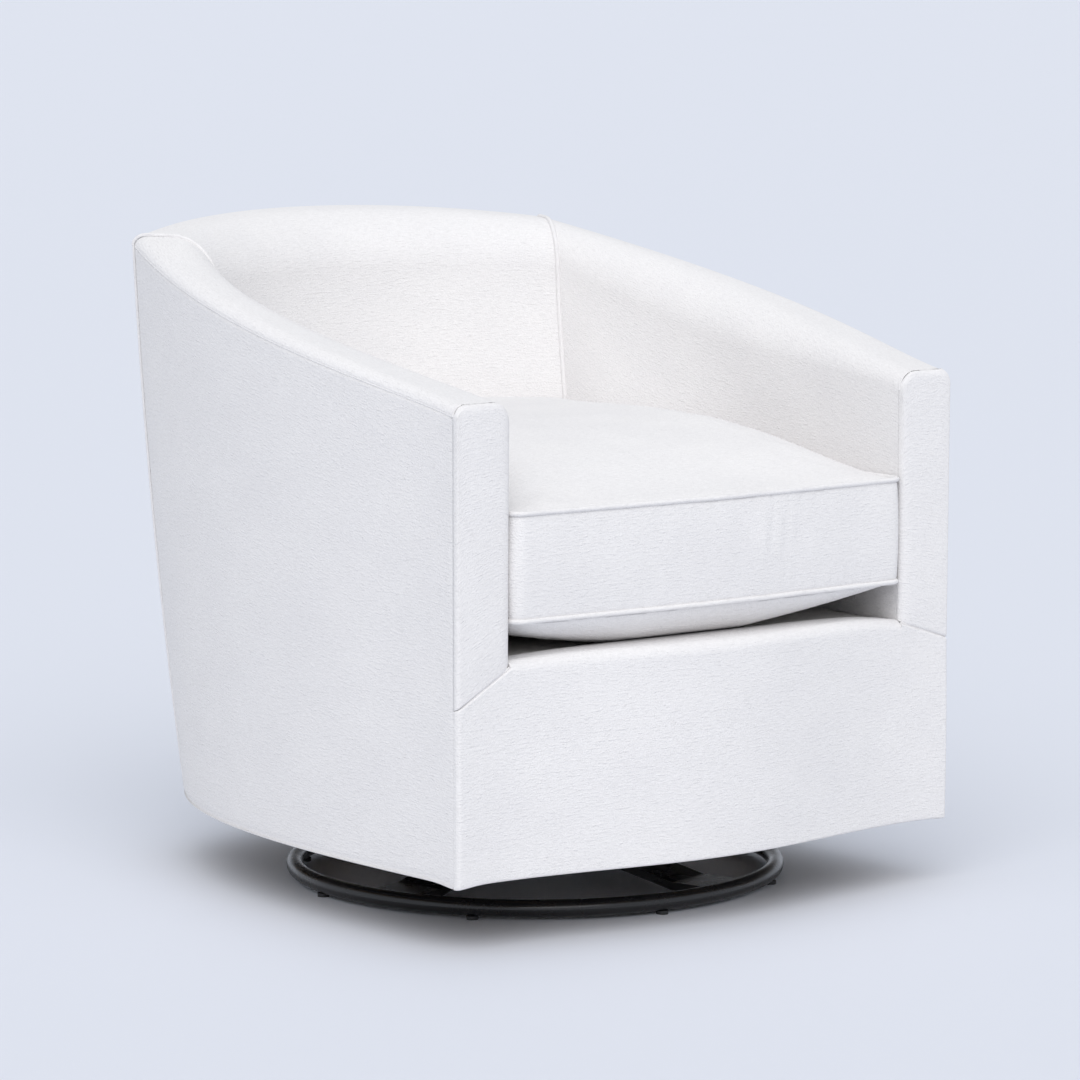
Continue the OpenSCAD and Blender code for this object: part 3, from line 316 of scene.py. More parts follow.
def plain(name, color, rough, metallic=0.0, size=60.0, depth=0.0003, spread=0.25, grain=(1, 1, 1)):
    """A material with fine unevenness of colour, gloss and surface."""
    m, t, b = shade(name, color, rough, metallic)
    obj = node(t, "ShaderNodeTexCoord").outputs["Object"]
    fine = noise_tex(t, scaled(t, obj, tuple(size * 12 * g for g in grain)), 3.0)
    broad = noise_tex(t, scaled(t, obj, tuple(size * g for g in grain)), 4.0)
    deep = tuple(c * (1 - spread) for c in color)
    light = tuple(min(1, c * (1 + spread)) for c in color)
    t.links.new(ramp(t, broad, [(0.3, deep), (0.7, light)]), b.inputs["Base Color"])
    t.links.new(ramp(t, broad, [(0.3, grey(max(0.02, rough - 0.08))), (0.7, grey(min(1, rough + 0.08)))]),
                b.inputs["Roughness"])
    if depth:
        t.links.new(bump(t, fine, 0.4, depth), b.inputs["Normal"])
    return m


IVORY = fabric("ivory_weave", (0.885, 0.866, 0.858), (0.80, 0.78, 0.772))
LINING = plain("lining", (0.035, 0.035, 0.037), 0.9, size=90, depth=0.0004)
DECKING = plain("decking", (0.72, 0.70, 0.67), 0.92, size=40, depth=0.0005, spread=0.08)
ZIPPER = plain("zipper_plastic", (0.78, 0.76, 0.73), 0.55, size=80, spread=0.05)
MATS = {
    "foam": plain("foam", (0.82, 0.77, 0.6), 0.95, size=150, depth=0.0008, spread=0.08),
    "lining_cloth": LINING,
    "frame_wood": plain("frame_wood", (0.55, 0.38, 0.22), 0.7, size=9, depth=0.0004, spread=0.3,
                        grain=(6, 0.8, 6)),
    "black_coat": plain("black_coat", (0.011, 0.011, 0.012), 0.27, size=18, depth=0.00003, spread=0.12),
    "dark_plate": plain("dark_plate", (0.02, 0.02, 0.022), 0.42, size=45, depth=0.00015),
    "zinc_steel": plain("zinc_steel", (0.55, 0.55, 0.56), 0.36, 1.0, size=30, depth=0.00008, spread=0.12),
    "bright_steel": plain("bright_steel", (0.66, 0.66, 0.67), 0.22, 1.0, size=30, depth=0.00004, spread=0.08),
    "bumper_rubber": plain("bumper_rubber", (0.02, 0.02, 0.02), 0.75, size=80),
    "glide_plastic": plain("glide_plastic", (0.015, 0.015, 0.016), 0.5, size=80),
    "zipper_plastic": ZIPPER,
    "ivory_weave": IVORY,
}
slot_of = {s["node"]: s["material_slot"] for s in frame["record"]["subparts"]}
for name, obj in frame["nodes"].items():
    mat = MATS[slot_of[name]]
    if not obj.data.materials:
        obj.data.materials.append(mat)
    for k in range(len(obj.data.materials)):
        obj.data.materials[k] = mat


# Mesh helpers
def finish_mesh(name, verts, faces, uv, mat, body):
    """An object from points in mm, with smooth faces, the weave's UVs in metres, a body and a slot."""
    me = bpy.data.meshes.new(name)
    me.from_pydata([tuple(c / 1000 for c in v) for v in verts], [], faces)
    layer = me.uv_layers.new(name="weave")
    k = 0
    for f in uv:
        for c in f:
            layer.data[k].uv = (c[0] / 1000, c[1] / 1000)
            k += 1
    ob = bpy.data.objects.new(name, me)
    scene.collection.objects.link(ob)
    bm = bmesh.new()
    bm.from_mesh(me)
    bmesh.ops.remove_doubles(bm, verts=bm.verts, dist=2e-6)
    bmesh.ops.recalc_face_normals(bm, faces=bm.faces)
    bm.to_mesh(me)
    bm.free()
    for f in me.polygons:
        f.use_smooth = True
    me.materials.append(mat)
    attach(ob, body)
    return ob


def grid(name, P, wrap=False, caps=False, loop=False, u0=0.0, us=1, mat=IVORY, body="chair_body",
         swap=False):
    """A piece over a grid of points: rows follow the weft, columns cross it."""
    P = np.array(P, float)
    n, m = P.shape[:2]
    dv = np.concatenate([np.zeros((n, 1)), np.linalg.norm(np.diff(P, axis=1), axis=2)], 1).cumsum(1)
    mid = m // 3
    du = np.concatenate([[0], np.linalg.norm(np.diff(P[:, mid], axis=0), axis=1)]).cumsum()
    faces, uv = [], []
    rows, cols = (n if loop else n - 1), (m if wrap else m - 1)
    for i in range(rows):
        for j in range(cols):
            i2, j2 = (i + 1) % n, (j + 1) % m
            faces.append((i * m + j, i2 * m + j, i2 * m + j2, i * m + j2))
            ua, ub = du[i] + u0, (du[i2] if i2 else du[i] + np.linalg.norm(P[0, mid] - P[i, mid])) + u0
            va = dv[i, j]
            vb = dv[i, j2] if j2 else dv[i, j] + np.linalg.norm(P[i, 0] - P[i, j])
            q = [(us * ua, va), (us * ub, va), (us * ub, vb), (us * ua, vb)]
            uv.append([(b, a) for a, b in q] if swap else q)
    if caps:
        for i in (0, n - 1):
            faces.append(tuple(i * m + j for j in range(m)))
            uv.append([(P[i, j][0] + P[i, j][1], P[i, j][2]) for j in range(m)])
    ob = finish_mesh(name, P.reshape(-1, 3), faces, uv, mat, body)
    if caps:
        hard_caps(ob)
    return ob


def hard_caps(ob):
    """Keeps the shading of an end face apart from that of the faces round it."""
    me = ob.data
    rim = {k for f in me.polygons if f.loop_total > 4 for k in f.edge_keys}
    for e in me.edges:
        e.use_edge_sharp = e.key in rim


def tube(name, path, r, loop=False, sides=10, body="chair_body", mat=IVORY):
    """A round cord of cloth along a path, with its ends closed."""
    path = [np.array(p, float) for p in path]
    n = len(path)
    rad = r if callable(r) else (lambda t: r)
    rings, ref = [], None
    for i in range(n):
        a = path[(i - 1) % n] if loop else path[max(0, i - 1)]
        b = path[(i + 1) % n] if loop else path[min(n - 1, i + 1)]
        d = (b - a) / np.linalg.norm(b - a)
        if ref is None:
            ref = np.cross(d, [0, 0, 1.0] if abs(d[2]) < 0.9 else [1.0, 0, 0])
        ref = ref - d * np.dot(ref, d)
        ref = ref / np.linalg.norm(ref)
        v = np.cross(d, ref)
        ring = [path[i] + rad(i / (n - 1)) * (ref * math.cos(t) + v * math.sin(t))
                for t in np.linspace(0, 2 * math.pi, sides, endpoint=False)]
        rings.append(ring)
    return grid(name, rings, wrap=True, caps=not loop, loop=loop, mat=mat, body=body)


def join(name, parts):
    """Joins the parts into the first of them, under a new name."""
    with bpy.context.temp_override(active_object=parts[0], selected_editable_objects=parts):
        bpy.ops.object.join()
    parts[0].name = name
    parts[0].data.name = name
    return parts[0]


def lin(a, b, n):
    return [mix(a, b, k / (n - 1)) for k in range(n)]


def dense(a, b, n, edge):
    """Steps from a to b that crowd near both ends, within the given share."""
    return [mix(a, b, t - edge * math.sin(2 * math.pi * t) / (2 * math.pi)) for t in lin(0.0, 1.0, n)]


def side_len(p0, p1):
    """Straight distance in plan between two places of the top seam."""
    return np.linalg.norm(line_at(TOP, p1) - line_at(TOP, p0))


# Padded arms and back
PAD_BACK, PAD_TUCK, PAD_EDGE = 28.0, 3.5, 12.0


def pad(name, p0, p1, n, nodes, back_end, front_end):
    """Cover and foam as one closed form: over the top, down the inside, and back behind the foam."""
    rings = []
    for p in dense(p0, p1, n, 0.7):
        d0, d1 = side_len(p0, p), side_len(p, p1)
        tuck = back_end * math.exp(-d1 / PAD_TUCK) + front_end * math.exp(-d0 / PAD_TUCK)
        line = over_top(p, tuck, TUCK_H)
        if d0 < PAD_EDGE:
            whole = over_top(p, 0.0, TUCK_H)
            line = [mix(a, b, eased((k - 13) / 8)) for k, (a, b) in enumerate(zip(line, whole))]
        out = []
        for k, q in enumerate(line):
            s = k / (len(line) - 1)
            soft = 0.9 * wob(q, 90, 1) + 0.45 * wob(q, 34, 2)
            share = math.sin(math.pi * s) * mix(0.3, 1.0, eased((k - 8) / 16))
            q = q + np.array([*(-inward(p) * soft * share), 0])
            out.append(q)
        w, l, z = wall_w(p) - PAD_BACK, lean(p), seam_z(p) + 0.5
        for d, zz in ((w + l, TUCK_H), (w + l, mix(TUCK_H, LEAN_H, 0.5)), (w + l, LEAN_H),
                      (w, z - 42), (mix(INNER_T, w, 0.55), z - 6), (INNER_T, z)):
            out.append(at_depth(p, d, zz))
        rings.append(out)
    ob = grid(name, rings, wrap=True, caps=True)
    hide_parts(*nodes)
    return ob


pad("arm_pad_right", 0.0, 0.9962, 72, ["inside_right_cover", "right_arm_foam"], 0.3, 0.5)
pad("arm_pad_left", 4.0, 3.0038, 72, ["inside_left_cover", "left_arm_foam"], 0.3, 0.5)
pad("back_pad", 1.0095, 2.9905, 84, ["inside_back_cover", "back_foam"], 0.4, 0.4)


# Outside covers
HEM_ROUND, PANEL_TUCK = 2.2, 3.0


def hem_z(x, y):
    """The hem's height, a little lower at the two front corners."""
    corner = math.hypot(abs(x) - ARM_W / 2, y - SIDE_Y)
    dip = 1.6 if x > 0 else 3.0
    return HEM_H - dip * math.exp(-(corner / 22) ** 2)


def outside(name, p0, p1, n, node_name, ends):
    """An outside panel with a rounded hem, drawn in at its end seams by the given depths."""
    rings = []
    for p in dense(p0, p1, n, 0.75):
        d = [side_len(p0, p), side_len(p, p1)]
        tuck = ends[0] * math.exp(-d[0] / PANEL_TUCK) + ends[1] * math.exp(-d[1] / PANEL_TUCK)
        top = seam_z(p) - 0.3
        foot = line_at(HEM, p)
        low = hem_z(foot[0], foot[1])
        out = []
        for k in range(9):
            a = math.pi / 2 * k / 8
            out.append(in_wall(p, low + HEM_ROUND * (1 - math.sin(a)), tuck + HEM_ROUND * (1 - math.cos(a))))
        for z in dense(low + HEM_ROUND, top, 46, 0.6)[1:]:
            up = 0.1 * math.exp(-(top - z) / PANEL_TUCK)
            q = in_wall(p, z, tuck + up)
            v = (z - low) / (top - low)
            soft = (0.9 * wob(q, 120, 3) + 0.35 * wob(q, 38, 4)) * math.sin(math.pi * clamp(v)) ** 0.5
            q = q - np.array([*(inward(p) * soft * (1 - math.exp(-min(d) / 12))), 0])
            out.append(q)
        back = [in_wall(p, mix(low + 1.0, top, k / 6), OUTER_T - 0.1) for k in range(6, -1, -1)]
        rings.append(out + back)
    ob = grid(name, rings, wrap=True, caps=True)
    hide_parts(node_name)
    return ob


outside("outside_panel_right", 0.0, 0.997, 66, "outside_right_cover", (1.0, 0.6))
outside("outside_panel_left", 4.0, 3.003, 66, "outside_left_cover", (1.0, 0.6))
outside("outside_panel_back", 1.007, 2.993, 72, "outside_back_cover", (0.6, 0.6))


# Front panels. A fall is a depth at an edge, or the depth and the width over which it fades
FACE_W, MITRE_GAP, RAIL_HEM = 69.0, 0.5, 2.6
EDGE_FALL, MITRE_FALL = 4.5, 2.2
INNER_FALL, FOOT_FALL, TOP_FALL = (7.4, 15.0), (2.4, 3.5), (4.6, 9.0)


def edge_round(d, r, wide=None):
    """How far a face falls back at a distance d from its edge, over the given width."""
    share = 1 - min(d, wide or r) / (wide or r)
    return r * (1 - math.sqrt(1 - share * share))


def facing(name, side, node_name):
    """The narrow padded front of an arm."""
    top = over_top(0.0, 0.0, 400, 14, 18, 1)[:-1]
    arc = np.array([[q[0], q[2]] for q in top])
    seg = np.concatenate([[0], np.linalg.norm(np.diff(arc, axis=0), axis=1)]).cumsum()
    s_all = dense(0.0, 1.0, 41, 0.8)
    arc = np.array([[np.interp(s * seg[-1], seg, arc[:, 0]), np.interp(s * seg[-1], seg, arc[:, 1])]
                    for s in s_all])
    low = np.array([[mix(ARM_W / 2, SEAT_W / 2, s), mix(MITRE_OUT[side], MITRE_IN, s) + MITRE_GAP]
                    for s in s_all])
    front = []
    for t in dense(0.0, 1.0, 73, 0.85):
        row = []
        for k, s in enumerate(s_all):
            q = mix(low[k], arc[k], t)
            length = np.linalg.norm(arc[k] - low[k])
            y = ARM_Y
            y += edge_round(s * FACE_W, EDGE_FALL)
            y += edge_round((1 - s) * FACE_W, *INNER_FALL)
            y += edge_round(t * length, *FOOT_FALL)
            y += edge_round((1 - t) * length, *TOP_FALL)
            y = min(y, ARM_Y + FACING_T)
            puff = math.sin(math.pi * s) * min(1, 8 * t) * min(1, 8 * (1 - t))
            y -= 1.1 * puff + 0.5 * wob((q[0], 40, q[1]), 60, 5) * puff
            row.append((side * q[0], y, q[1]))
        front.append(row)
    back = [[(x, ARM_Y + FACING_T, z) for x, y, z in row] for row in front]
    ring = [[*front[i], *back[i][::-1]] for i in range(len(front))]
    ob = grid(name, ring, wrap=True, caps=True, swap=True)
    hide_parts(node_name)
    return ob


facing("arm_front_right", 1, "right_arm_facing")
facing("arm_front_left", -1, "left_arm_facing")


def rail_column(x, side):
    """Front line of the rail panel: over the hem, up to the roll or, on a side part, to the mitre seam."""
    f, z1 = front_at(x), rail_top(x)
    low = hem_z(x, SIDE_Y)
    edge = ARM_W / 2 - abs(x)
    turn = edge_round(edge, EDGE_FALL)
    out = clamp((abs(x) - RAIL_HALF) / (ARM_W / 2 - RAIL_HALF))
    top = mix(z1 - RAIL_ROLL, MITRE_OUT[side or 1] - 12, out)
    pts = [(f + turn + RAIL_HEM * (1 - math.sin(a)), low + RAIL_HEM * (1 - math.cos(a)))
           for a in lin(0, math.pi / 2, 7)]
    for z in dense(low + RAIL_HEM, top, 40, 0.5)[1:]:
        v = clamp((z - low) / (top - low))
        rough = wob((x, f, z), 110, 6) + 0.4 * wob((x, f, z), 36, 7)
        soft = rough * math.sin(math.pi * v) ** 0.5
        pts.append((f + turn - soft * min(1, edge / 14) - 1.2 * math.sin(math.pi * v), z))
    if side:
        mitre = mix(MITRE_IN, MITRE_OUT[side], out) - 0.3
        pts += [(f + turn + edge_round(mitre - z, MITRE_FALL), z) for z in dense(top, mitre, 12, 0.4)[1:]]
    return pts, f, z1


def front_panel():
    """The rail panel between the arms, and its two side parts under the mitre seams, as one piece."""
    parts, half, rear_z = [], 0.0, 200.0
    for side in (0, 1, -1):
        rings = []
        if side:
            xs = dense(RAIL_HALF, ARM_W / 2, 33, 0.6)
        else:
            xs = dense(-RAIL_HALF, RAIL_HALF, 97, 0.3)
        for x in xs:
            line, f, z1 = rail_column(side * x if side else x, side)
            if side:
                rear = f + FACING_T - 0.8 * (x > RAIL_HALF + 1)
                line += [(rear, line[-1][1]), (rear, rear_z), (rear, HEM_H + 1)]
                rings.append([(side * x, y, z) for y, z in line])
                continue
            for a in lin(0, math.pi / 2, 11)[1:]:
                line.append((f + RAIL_ROLL * (1 - math.cos(a)), z1 - RAIL_ROLL * (1 - math.sin(a))))
            for y in lin(f + RAIL_ROLL, SHELF_Y - 3, 9)[1:]:
                s = (y - f) / (SHELF_Y - f)
                line.append((y, z1 - 1.2 * s + 0.5 * wob((x, y, z1), 40, 8) * math.sin(math.pi * s)))
            line += [(SHELF_Y - 0.6, z1 - 4), (SHELF_Y, TUCK_H), (SHELF_Y - 3, TUCK_H), (SHELF_Y - 3, z1 - 6),
                     (f + 12, z1 - 6), (f + FACING_T, z1 - RAIL_ROLL - 4), (f + FACING_T, rear_z),
                     (f + FACING_T, HEM_H + 1)]
            rings.append([(x, y, z) for y, z in line])
        if not side:
            mid = np.array([ring[len(ring) // 3] for ring in rings])
            half = np.linalg.norm(np.diff(mid, axis=0), axis=1).sum() / 2
        parts.append(grid("rail", rings, wrap=True, caps=True, u0=half if side else -half, us=side or 1))
    ob = join("front_panel", parts)
    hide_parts("front_rail_cover", "front_edge_foam")
    return ob


front_panel()

# Seams and welts
INNER_WELT_R, OUTER_WELT_R, TOP_SEAM_R = 2.7, 2.3, 1.45
ARM_SEAM_R, INNER_SEAM_R, MITRE_SEAM_R = 1.3, 0.9, 1.2
for tag, p in (("right", 1.0), ("left", 3.0)):
    inner = over_top(p, 0.0, TUCK_H + 2, 10, 16, 20)
    tube("inside_welt_" + tag, inner, INNER_WELT_R)
    low = HEM_H + 1.5
    tube("outside_welt_" + tag, [in_wall(p, z, SOFT_GAP) for z in lin(low, seam_z(p) + 2, 60)], OUTER_WELT_R)
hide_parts("back_seam_welts")

for tag, ends in (("right", (0.0, 0.994)), ("left", (4.0, 3.006)), ("back", (1.006, 2.994))):
    line = [at_depth(p, 1.1, seam_z(p) - 0.1) for p in lin(*ends, 90)]
    tube("top_seam_" + tag, line, TOP_SEAM_R, sides=8)
for tag, side in (("right", 1), ("left", -1)):
    pts = []
    for q in over_top(0.0, 0.0, 300, 12, 16, 20):
        pts.append((side * q[0], SIDE_Y - 1.1, q[2] - 0.2))
    tube("front_top_seam_" + tag, pts[:11], ARM_SEAM_R, sides=8)
    tube("front_inner_seam_" + tag, pts[15:30], INNER_SEAM_R, sides=8)
    mitre = [(side * mix(SEAT_W / 2 + 1, ARM_W / 2 - 3, t), ARM_Y + 2.7,
              mix(MITRE_IN, MITRE_OUT[side], t) + 0.1) for t in lin(0.0, 1.0, 12)]
    tube("mitre_seam_" + tag, mitre, MITRE_SEAM_R, sides=8)

# Deck under the cushion
DECK_LOW = 285.0
deck_line = [well_at(p, 1.0) for p in [0.03] + lin(0.1, 0.96, 20) + lin(1.05, 2.0, 16)]
deck_line = [q for q in deck_line if q[1] > SHELF_Y + 1]
deck_line = [np.array([deck_line[0][0], SHELF_Y + 0.8])] + deck_line
ring = []
for q in deck_line:
    row = []
    for s in np.linspace(-1, 1, 41):
        x = q[0] * s
        e = math.exp(-(q[0] * (1 - abs(s))) / 6)
        row.append((x, q[1], DECK_TOP - 1.6 * e - 0.5 + 0.4 * wob((x, q[1], 0), 45, 9)))
    row += [(q[0] * s, q[1], DECK_LOW) for s in (1, 0.33, -0.33, -1)]
    ring.append(row)
deck = grid("seat_deck", ring, wrap=True, caps=True, mat=DECKING)
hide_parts("deck_cloth", "deck_pad")

# Loose cushion
BOX_TOP = BOX_LOW + BOX_H
CUSH_Y = ARM_Y - 4.5
MID = np.array([0.0, SWIVEL_Y])
SIDE_ROOM, BACK_ROOM = 2.0, 7.0
PANEL_INSET, BAND_INSET, BAND_BULGE = 2.0, 1.2, 2.4
FRONT_Y, FRONT_FADE = -330.0, 30.0


def resample(points, count):
    """The closed outline again, in equal steps."""
    pts = np.array(points + [points[0]])
    d = np.concatenate([[0], np.linalg.norm(np.diff(pts, axis=0), axis=1)]).cumsum()
    s = np.linspace(0, d[-1], count, endpoint=False)
    return np.stack([np.interp(s, d, pts[:, 0]), np.interp(s, d, pts[:, 1])], 1)


def cushion_line(count):
    """Plan outline from the middle of the front round the right side to the back, and home."""
    half = []
    for x in lin(0, 250, 24):
        half.append(np.array([x, CUSH_Y - CUSHION_BOW * math.cos(math.pi * x / SEAT_W) ** 2]))
    start, end = half[-1], well_at(0.03, SIDE_ROOM)
    knee = np.array([end[0] + 0.2, start[1] + 0.3])
    for t in lin(0, 1, 8)[1:-1]:
        half.append(start * (1 - t) ** 2 + 2 * knee * t * (1 - t) + end * t * t)
    for p in lin(0.03, 0.93, 60):
        half.append(well_at(p, mix(SIDE_ROOM, BACK_ROOM, eased(2 * p - 1))))
    a, b = well_at(0.93, BACK_ROOM), well_at(1.14, BACK_ROOM)
    knee = well_at(1.0, 9)
    for t in lin(0, 1, 10)[1:-1]:
        half.append(a * (1 - t) ** 2 + 2 * knee * t * (1 - t) + b * t * t)
    for p in lin(1.14, 2.0, 26):
        half.append(well_at(p, BACK_ROOM))
    whole = half + [np.array([-q[0], q[1]]) for q in half[-2:0:-1]]
    return resample(whole, count)


def crown_z(q, run):
    """Height of the cushion's top at a run from its outline."""
    depth = q[1] - CUSH_Y + CUSHION_BOW
    rise = CROWN_H * math.sin(math.pi / 2 * clamp(depth / 300))
    return BOX_TOP + rise * (1 - (1 - clamp(run / CROWN_RUN)) ** 2)


def belly_z(q, s):
    """Height of the cushion's underside, which rests on the deck and rises to the front and the sides."""
    depth = q[1] - CUSH_Y + CUSHION_BOW
    side = SEAT_W / 2 - 2 - abs(q[0])
    fall = clamp(side / 200) ** 0.6 if q[0] > 0 else clamp(side / 165) ** 0.42
    return BOX_LOW - (BOX_LOW - DECK_TOP - 0.6) * dome(depth / 110) * fall * dome(s * 12)


LINE = cushion_line(480)
TANG = np.roll(LINE, -1, 0) - np.roll(LINE, 1, 0)
TANG /= np.linalg.norm(TANG, axis=1)[:, None]
NORM = np.stack([TANG[:, 1], -TANG[:, 0]], 1)


def outline_at(k, inset):
    """A point of the cushion's outline, set in by some depth."""
    return LINE[k] - NORM[k] * inset


def cushion_form():
    """The closed form before it swells: underside, band and top in rings over the outline."""
    shares = [0.006, 0.018, 0.035, 0.06, 0.09, 0.14, 0.2, 0.28, 0.38, 0.5, 0.64, 0.8]
    rings = []
    for s in shares[::-1]:
        flat = [mix(outline_at(k, PANEL_INSET), MID, s) for k in range(len(LINE))]
        rings.append([(*q, belly_z(q, s)) for q in flat])
    for v in lin(0.0, 1.0, 11):
        row = []
        for k in range(len(LINE)):
            front = clamp((FRONT_Y - LINE[k][1]) / FRONT_FADE)
            bulge = (BAND_BULGE * math.sin(math.pi * v) ** 0.8) * front
            q = outline_at(k, BAND_INSET - bulge)
            row.append((q[0], q[1], mix(BOX_LOW, BOX_TOP, v)))
        rings.append(row)
    for s in shares:
        row = []
        for k in range(len(LINE)):
            edge = outline_at(k, PANEL_INSET)
            q = mix(edge, MID, s)
            row.append((q[0], q[1], crown_z(q, s * np.linalg.norm(edge - MID)) + 0.4))
        rings.append(row)
    return grid("seat_cushion_form", rings, wrap=True, caps=True, body="seat_cushion")


def seam_measure(co):
    """For each point: distance from the nearer seam, place along the outline, distance from the outline."""
    near_k = np.zeros(len(co), int)
    batch = 4000
    for a in range(0, len(co), batch):
        near_k[a:a + batch] = np.linalg.norm(co[a:a + batch, None, :2] - LINE[None], axis=2).argmin(1)
    step = np.linalg.norm(LINE[1] - LINE[0])
    gap = co[:, :2] - LINE[near_k]
    along = (gap * TANG[near_k]).sum(1).clip(-step, step)
    flat = np.linalg.norm(gap - TANG[near_k] * along[:, None], axis=1)
    s = np.where(near_k > len(LINE) / 2, near_k - len(LINE), near_k) * step + along
    dz = np.minimum(abs(co[:, 2] - BOX_LOW), abs(co[:, 2] - BOX_TOP))
    return np.hypot(flat, dz), s, flat


VOXEL, FRAMES = 0.0055, 20
MOST_MOVE, MOST_RISE, MOST_BELLY = 9.0, 2.5, 0.4
SIDE_SHARE, BELLY_SHARE = 0.06, 0.05


def simulate(ob):
    """Inflates the closed form a little between its seams and keeps the result, with its moves capped."""
    bpy.context.view_layer.objects.active = ob
    ob.data.remesh_voxel_size = VOXEL
    with bpy.context.temp_override(active_object=ob, object=ob):
        bpy.ops.object.voxel_remesh()
    me = ob.data
    n = len(me.vertices)
    old = np.empty(n * 3)
    me.vertices.foreach_get("co", old)
    old = old.reshape(-1, 3) * 1000
    d = seam_measure(old)[0]
    pins = ob.vertex_groups.new(name="seams")
    w = np.clip(1.25 - d / 12, 0, 1)
    for step in range(1, 11):
        idx = np.nonzero((w > (step - 1) / 10) & (w <= step / 10))[0].tolist()
        if idx:
            pins.add(idx, step / 10, "REPLACE")
    cl = ob.modifiers.new("cloth", "CLOTH")
    s = cl.settings
    s.quality = 6
    s.mass = 0.3
    s.tension_stiffness = 18
    s.compression_stiffness = 18
    s.shear_stiffness = 8
    s.bending_stiffness = 2.2
    s.use_pressure = True
    s.uniform_pressure_force = 4.0
    s.effector_weights.gravity = 0
    s.vertex_group_mass = "seams"
    cl.collision_settings.use_collision = False
    for f in range(1, FRAMES + 1):
        scene.frame_set(f)
    ev = ob.evaluated_get(bpy.context.evaluated_depsgraph_get())
    new = np.empty(n * 3)
    ev.data.vertices.foreach_get("co", new)
    new = new.reshape(-1, 3) * 1000
    scene.frame_set(1)
    ob.modifiers.remove(cl)
    ob.vertex_groups.clear()
    move = new - old
    size = np.linalg.norm(move, axis=1)
    move *= (np.minimum(size, MOST_MOVE) / np.maximum(size, 1e-6))[:, None]
    front = np.clip((FRONT_Y - old[:, 1]) / FRONT_FADE, 0, 1)
    move[:, :2] *= (SIDE_SHARE + (1 - SIDE_SHARE) * front)[:, None]
    belly = old[:, 2] < BOX_LOW - 4
    move[belly, :2] *= BELLY_SHARE
    move[belly, 2] = move[belly, 2].clip(-MOST_BELLY, MOST_BELLY)
    move[:, 2] = np.minimum(move[:, 2], MOST_RISE)
    new = old + move
    me.vertices.foreach_set("co", (new / 1000).ravel())
    me.update()
    with bpy.context.temp_override(active_object=ob, object=ob):
        sub = ob.modifiers.new("round", "SUBSURF")
        sub.levels = 1
        bpy.ops.object.modifier_apply(modifier="round")
    return ob


def lumps(points):
    """Blender's noise at each of the given points."""
    return np.array([noise.noise(Vector(p)) for p in points])


def sew(ob):
    """Seams drawn in, gathers along them and soft creases; the weave's UVs come last."""
    me = ob.data
    co = np.empty(len(me.vertices) * 3)
    me.vertices.foreach_get("co", co)
    co = co.reshape(-1, 3) * 1000
    no = np.array([v.normal[:] for v in me.vertices])
    d, s, flat = seam_measure(co)
    out = -1.1 * np.exp(-(d / 3.0) ** 2)
    half_run = len(LINE) / 2 * np.linalg.norm(LINE[1] - LINE[0])
    fade = np.clip((half_run - np.abs(s)) / 30, 0, 1)
    gather = lumps((a / 7.5, 3.3, z / 60) for a, z in zip(s, co[:, 2]))
    gather += 0.6 * lumps((a / 17.0, 9.1, z / 90) for a, z in zip(s, co[:, 2]))
    out += 0.75 * gather * fade * np.exp(-d / 11)
    band = np.clip(1 - np.abs(co[:, 2] - (BOX_LOW + BOX_TOP) / 2) / (BOX_H / 2), 0, 1) * (flat < 10)
    crease = lumps((a / 26.0, 1.7, z / 160) for a, z in zip(s, co[:, 2]))
    out += crease * fade * band ** 0.5
    # three soft gathers to the right of the middle of the front, where the band is pulled
    for at, wide, deep in ((60, 6.5, 1.2), (80, 7.5, 1.8), (100, 7.0, 1.1)):
        lift = np.exp(-((s - at - 0.05 * (co[:, 2] - 400)) / wide) ** 2) * band ** 0.7
        out += deep * lift * np.clip((co[:, 2] - 372) / 50, 0, 1)
    top = no[:, 2] > 0.6
    broad = lumps((x / 120, y / 120, 5.0) for x, y in co[:, :2])
    broad += 0.4 * lumps((x / 45, y / 45, 8.0) for x, y in co[:, :2])
    out += 1.1 * broad * top
    co += no * out[:, None]
    me.vertices.foreach_set("co", (co / 1000).ravel())
    me.update()
    for layer in list(me.uv_layers):
        me.uv_layers.remove(layer)
    layer = me.uv_layers.new(name="weave")
    vi = np.empty(len(me.loops), int)
    me.loops.foreach_get("vertex_index", vi)
    fn = np.repeat(np.array([p.normal[:] for p in me.polygons]), [p.loop_total for p in me.polygons], axis=0)
    flat_uv = co[vi][:, :2]
    side_uv = np.stack([s[vi], co[vi][:, 2]], 1)
    side = (np.abs(fn[:, 2]) < 0.6) & (flat[vi] < 14)
    side &= (co[vi][:, 2] > BOX_LOW - 3) & (co[vi][:, 2] < BOX_TOP + 3)
    uv = np.where(side[:, None], side_uv, flat_uv) / 1000
    layer.data.foreach_set("uv", uv.ravel())
    for p in me.polygons:
        p.use_smooth = True


cushion = cushion_form()
simulate(cushion)
sew(cushion)
cushion.name = "seat_cushion_pad"
if not cushion.data.materials:
    cushion.data.materials.append(IVORY)
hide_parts("cushion_core", "cushion_top_panel", "cushion_bottom_panel", "cushion_boxing")
CUSHION_WELT_R = 2.75
for tag, z in (("upper", BOX_TOP + 0.4), ("lower", BOX_LOW - 0.4)):
    path = []
    for k in range(len(LINE)):
        q = outline_at(k, 1.5)
        lift = 0.35 * noise.noise(Vector((k / 10.0, z / 50, 2.2)))
        path.append((q[0], q[1], z + lift))
    tube("cushion_welt_" + tag, path, CUSHION_WELT_R, loop=True, body="seat_cushion")
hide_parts("cushion_welts")

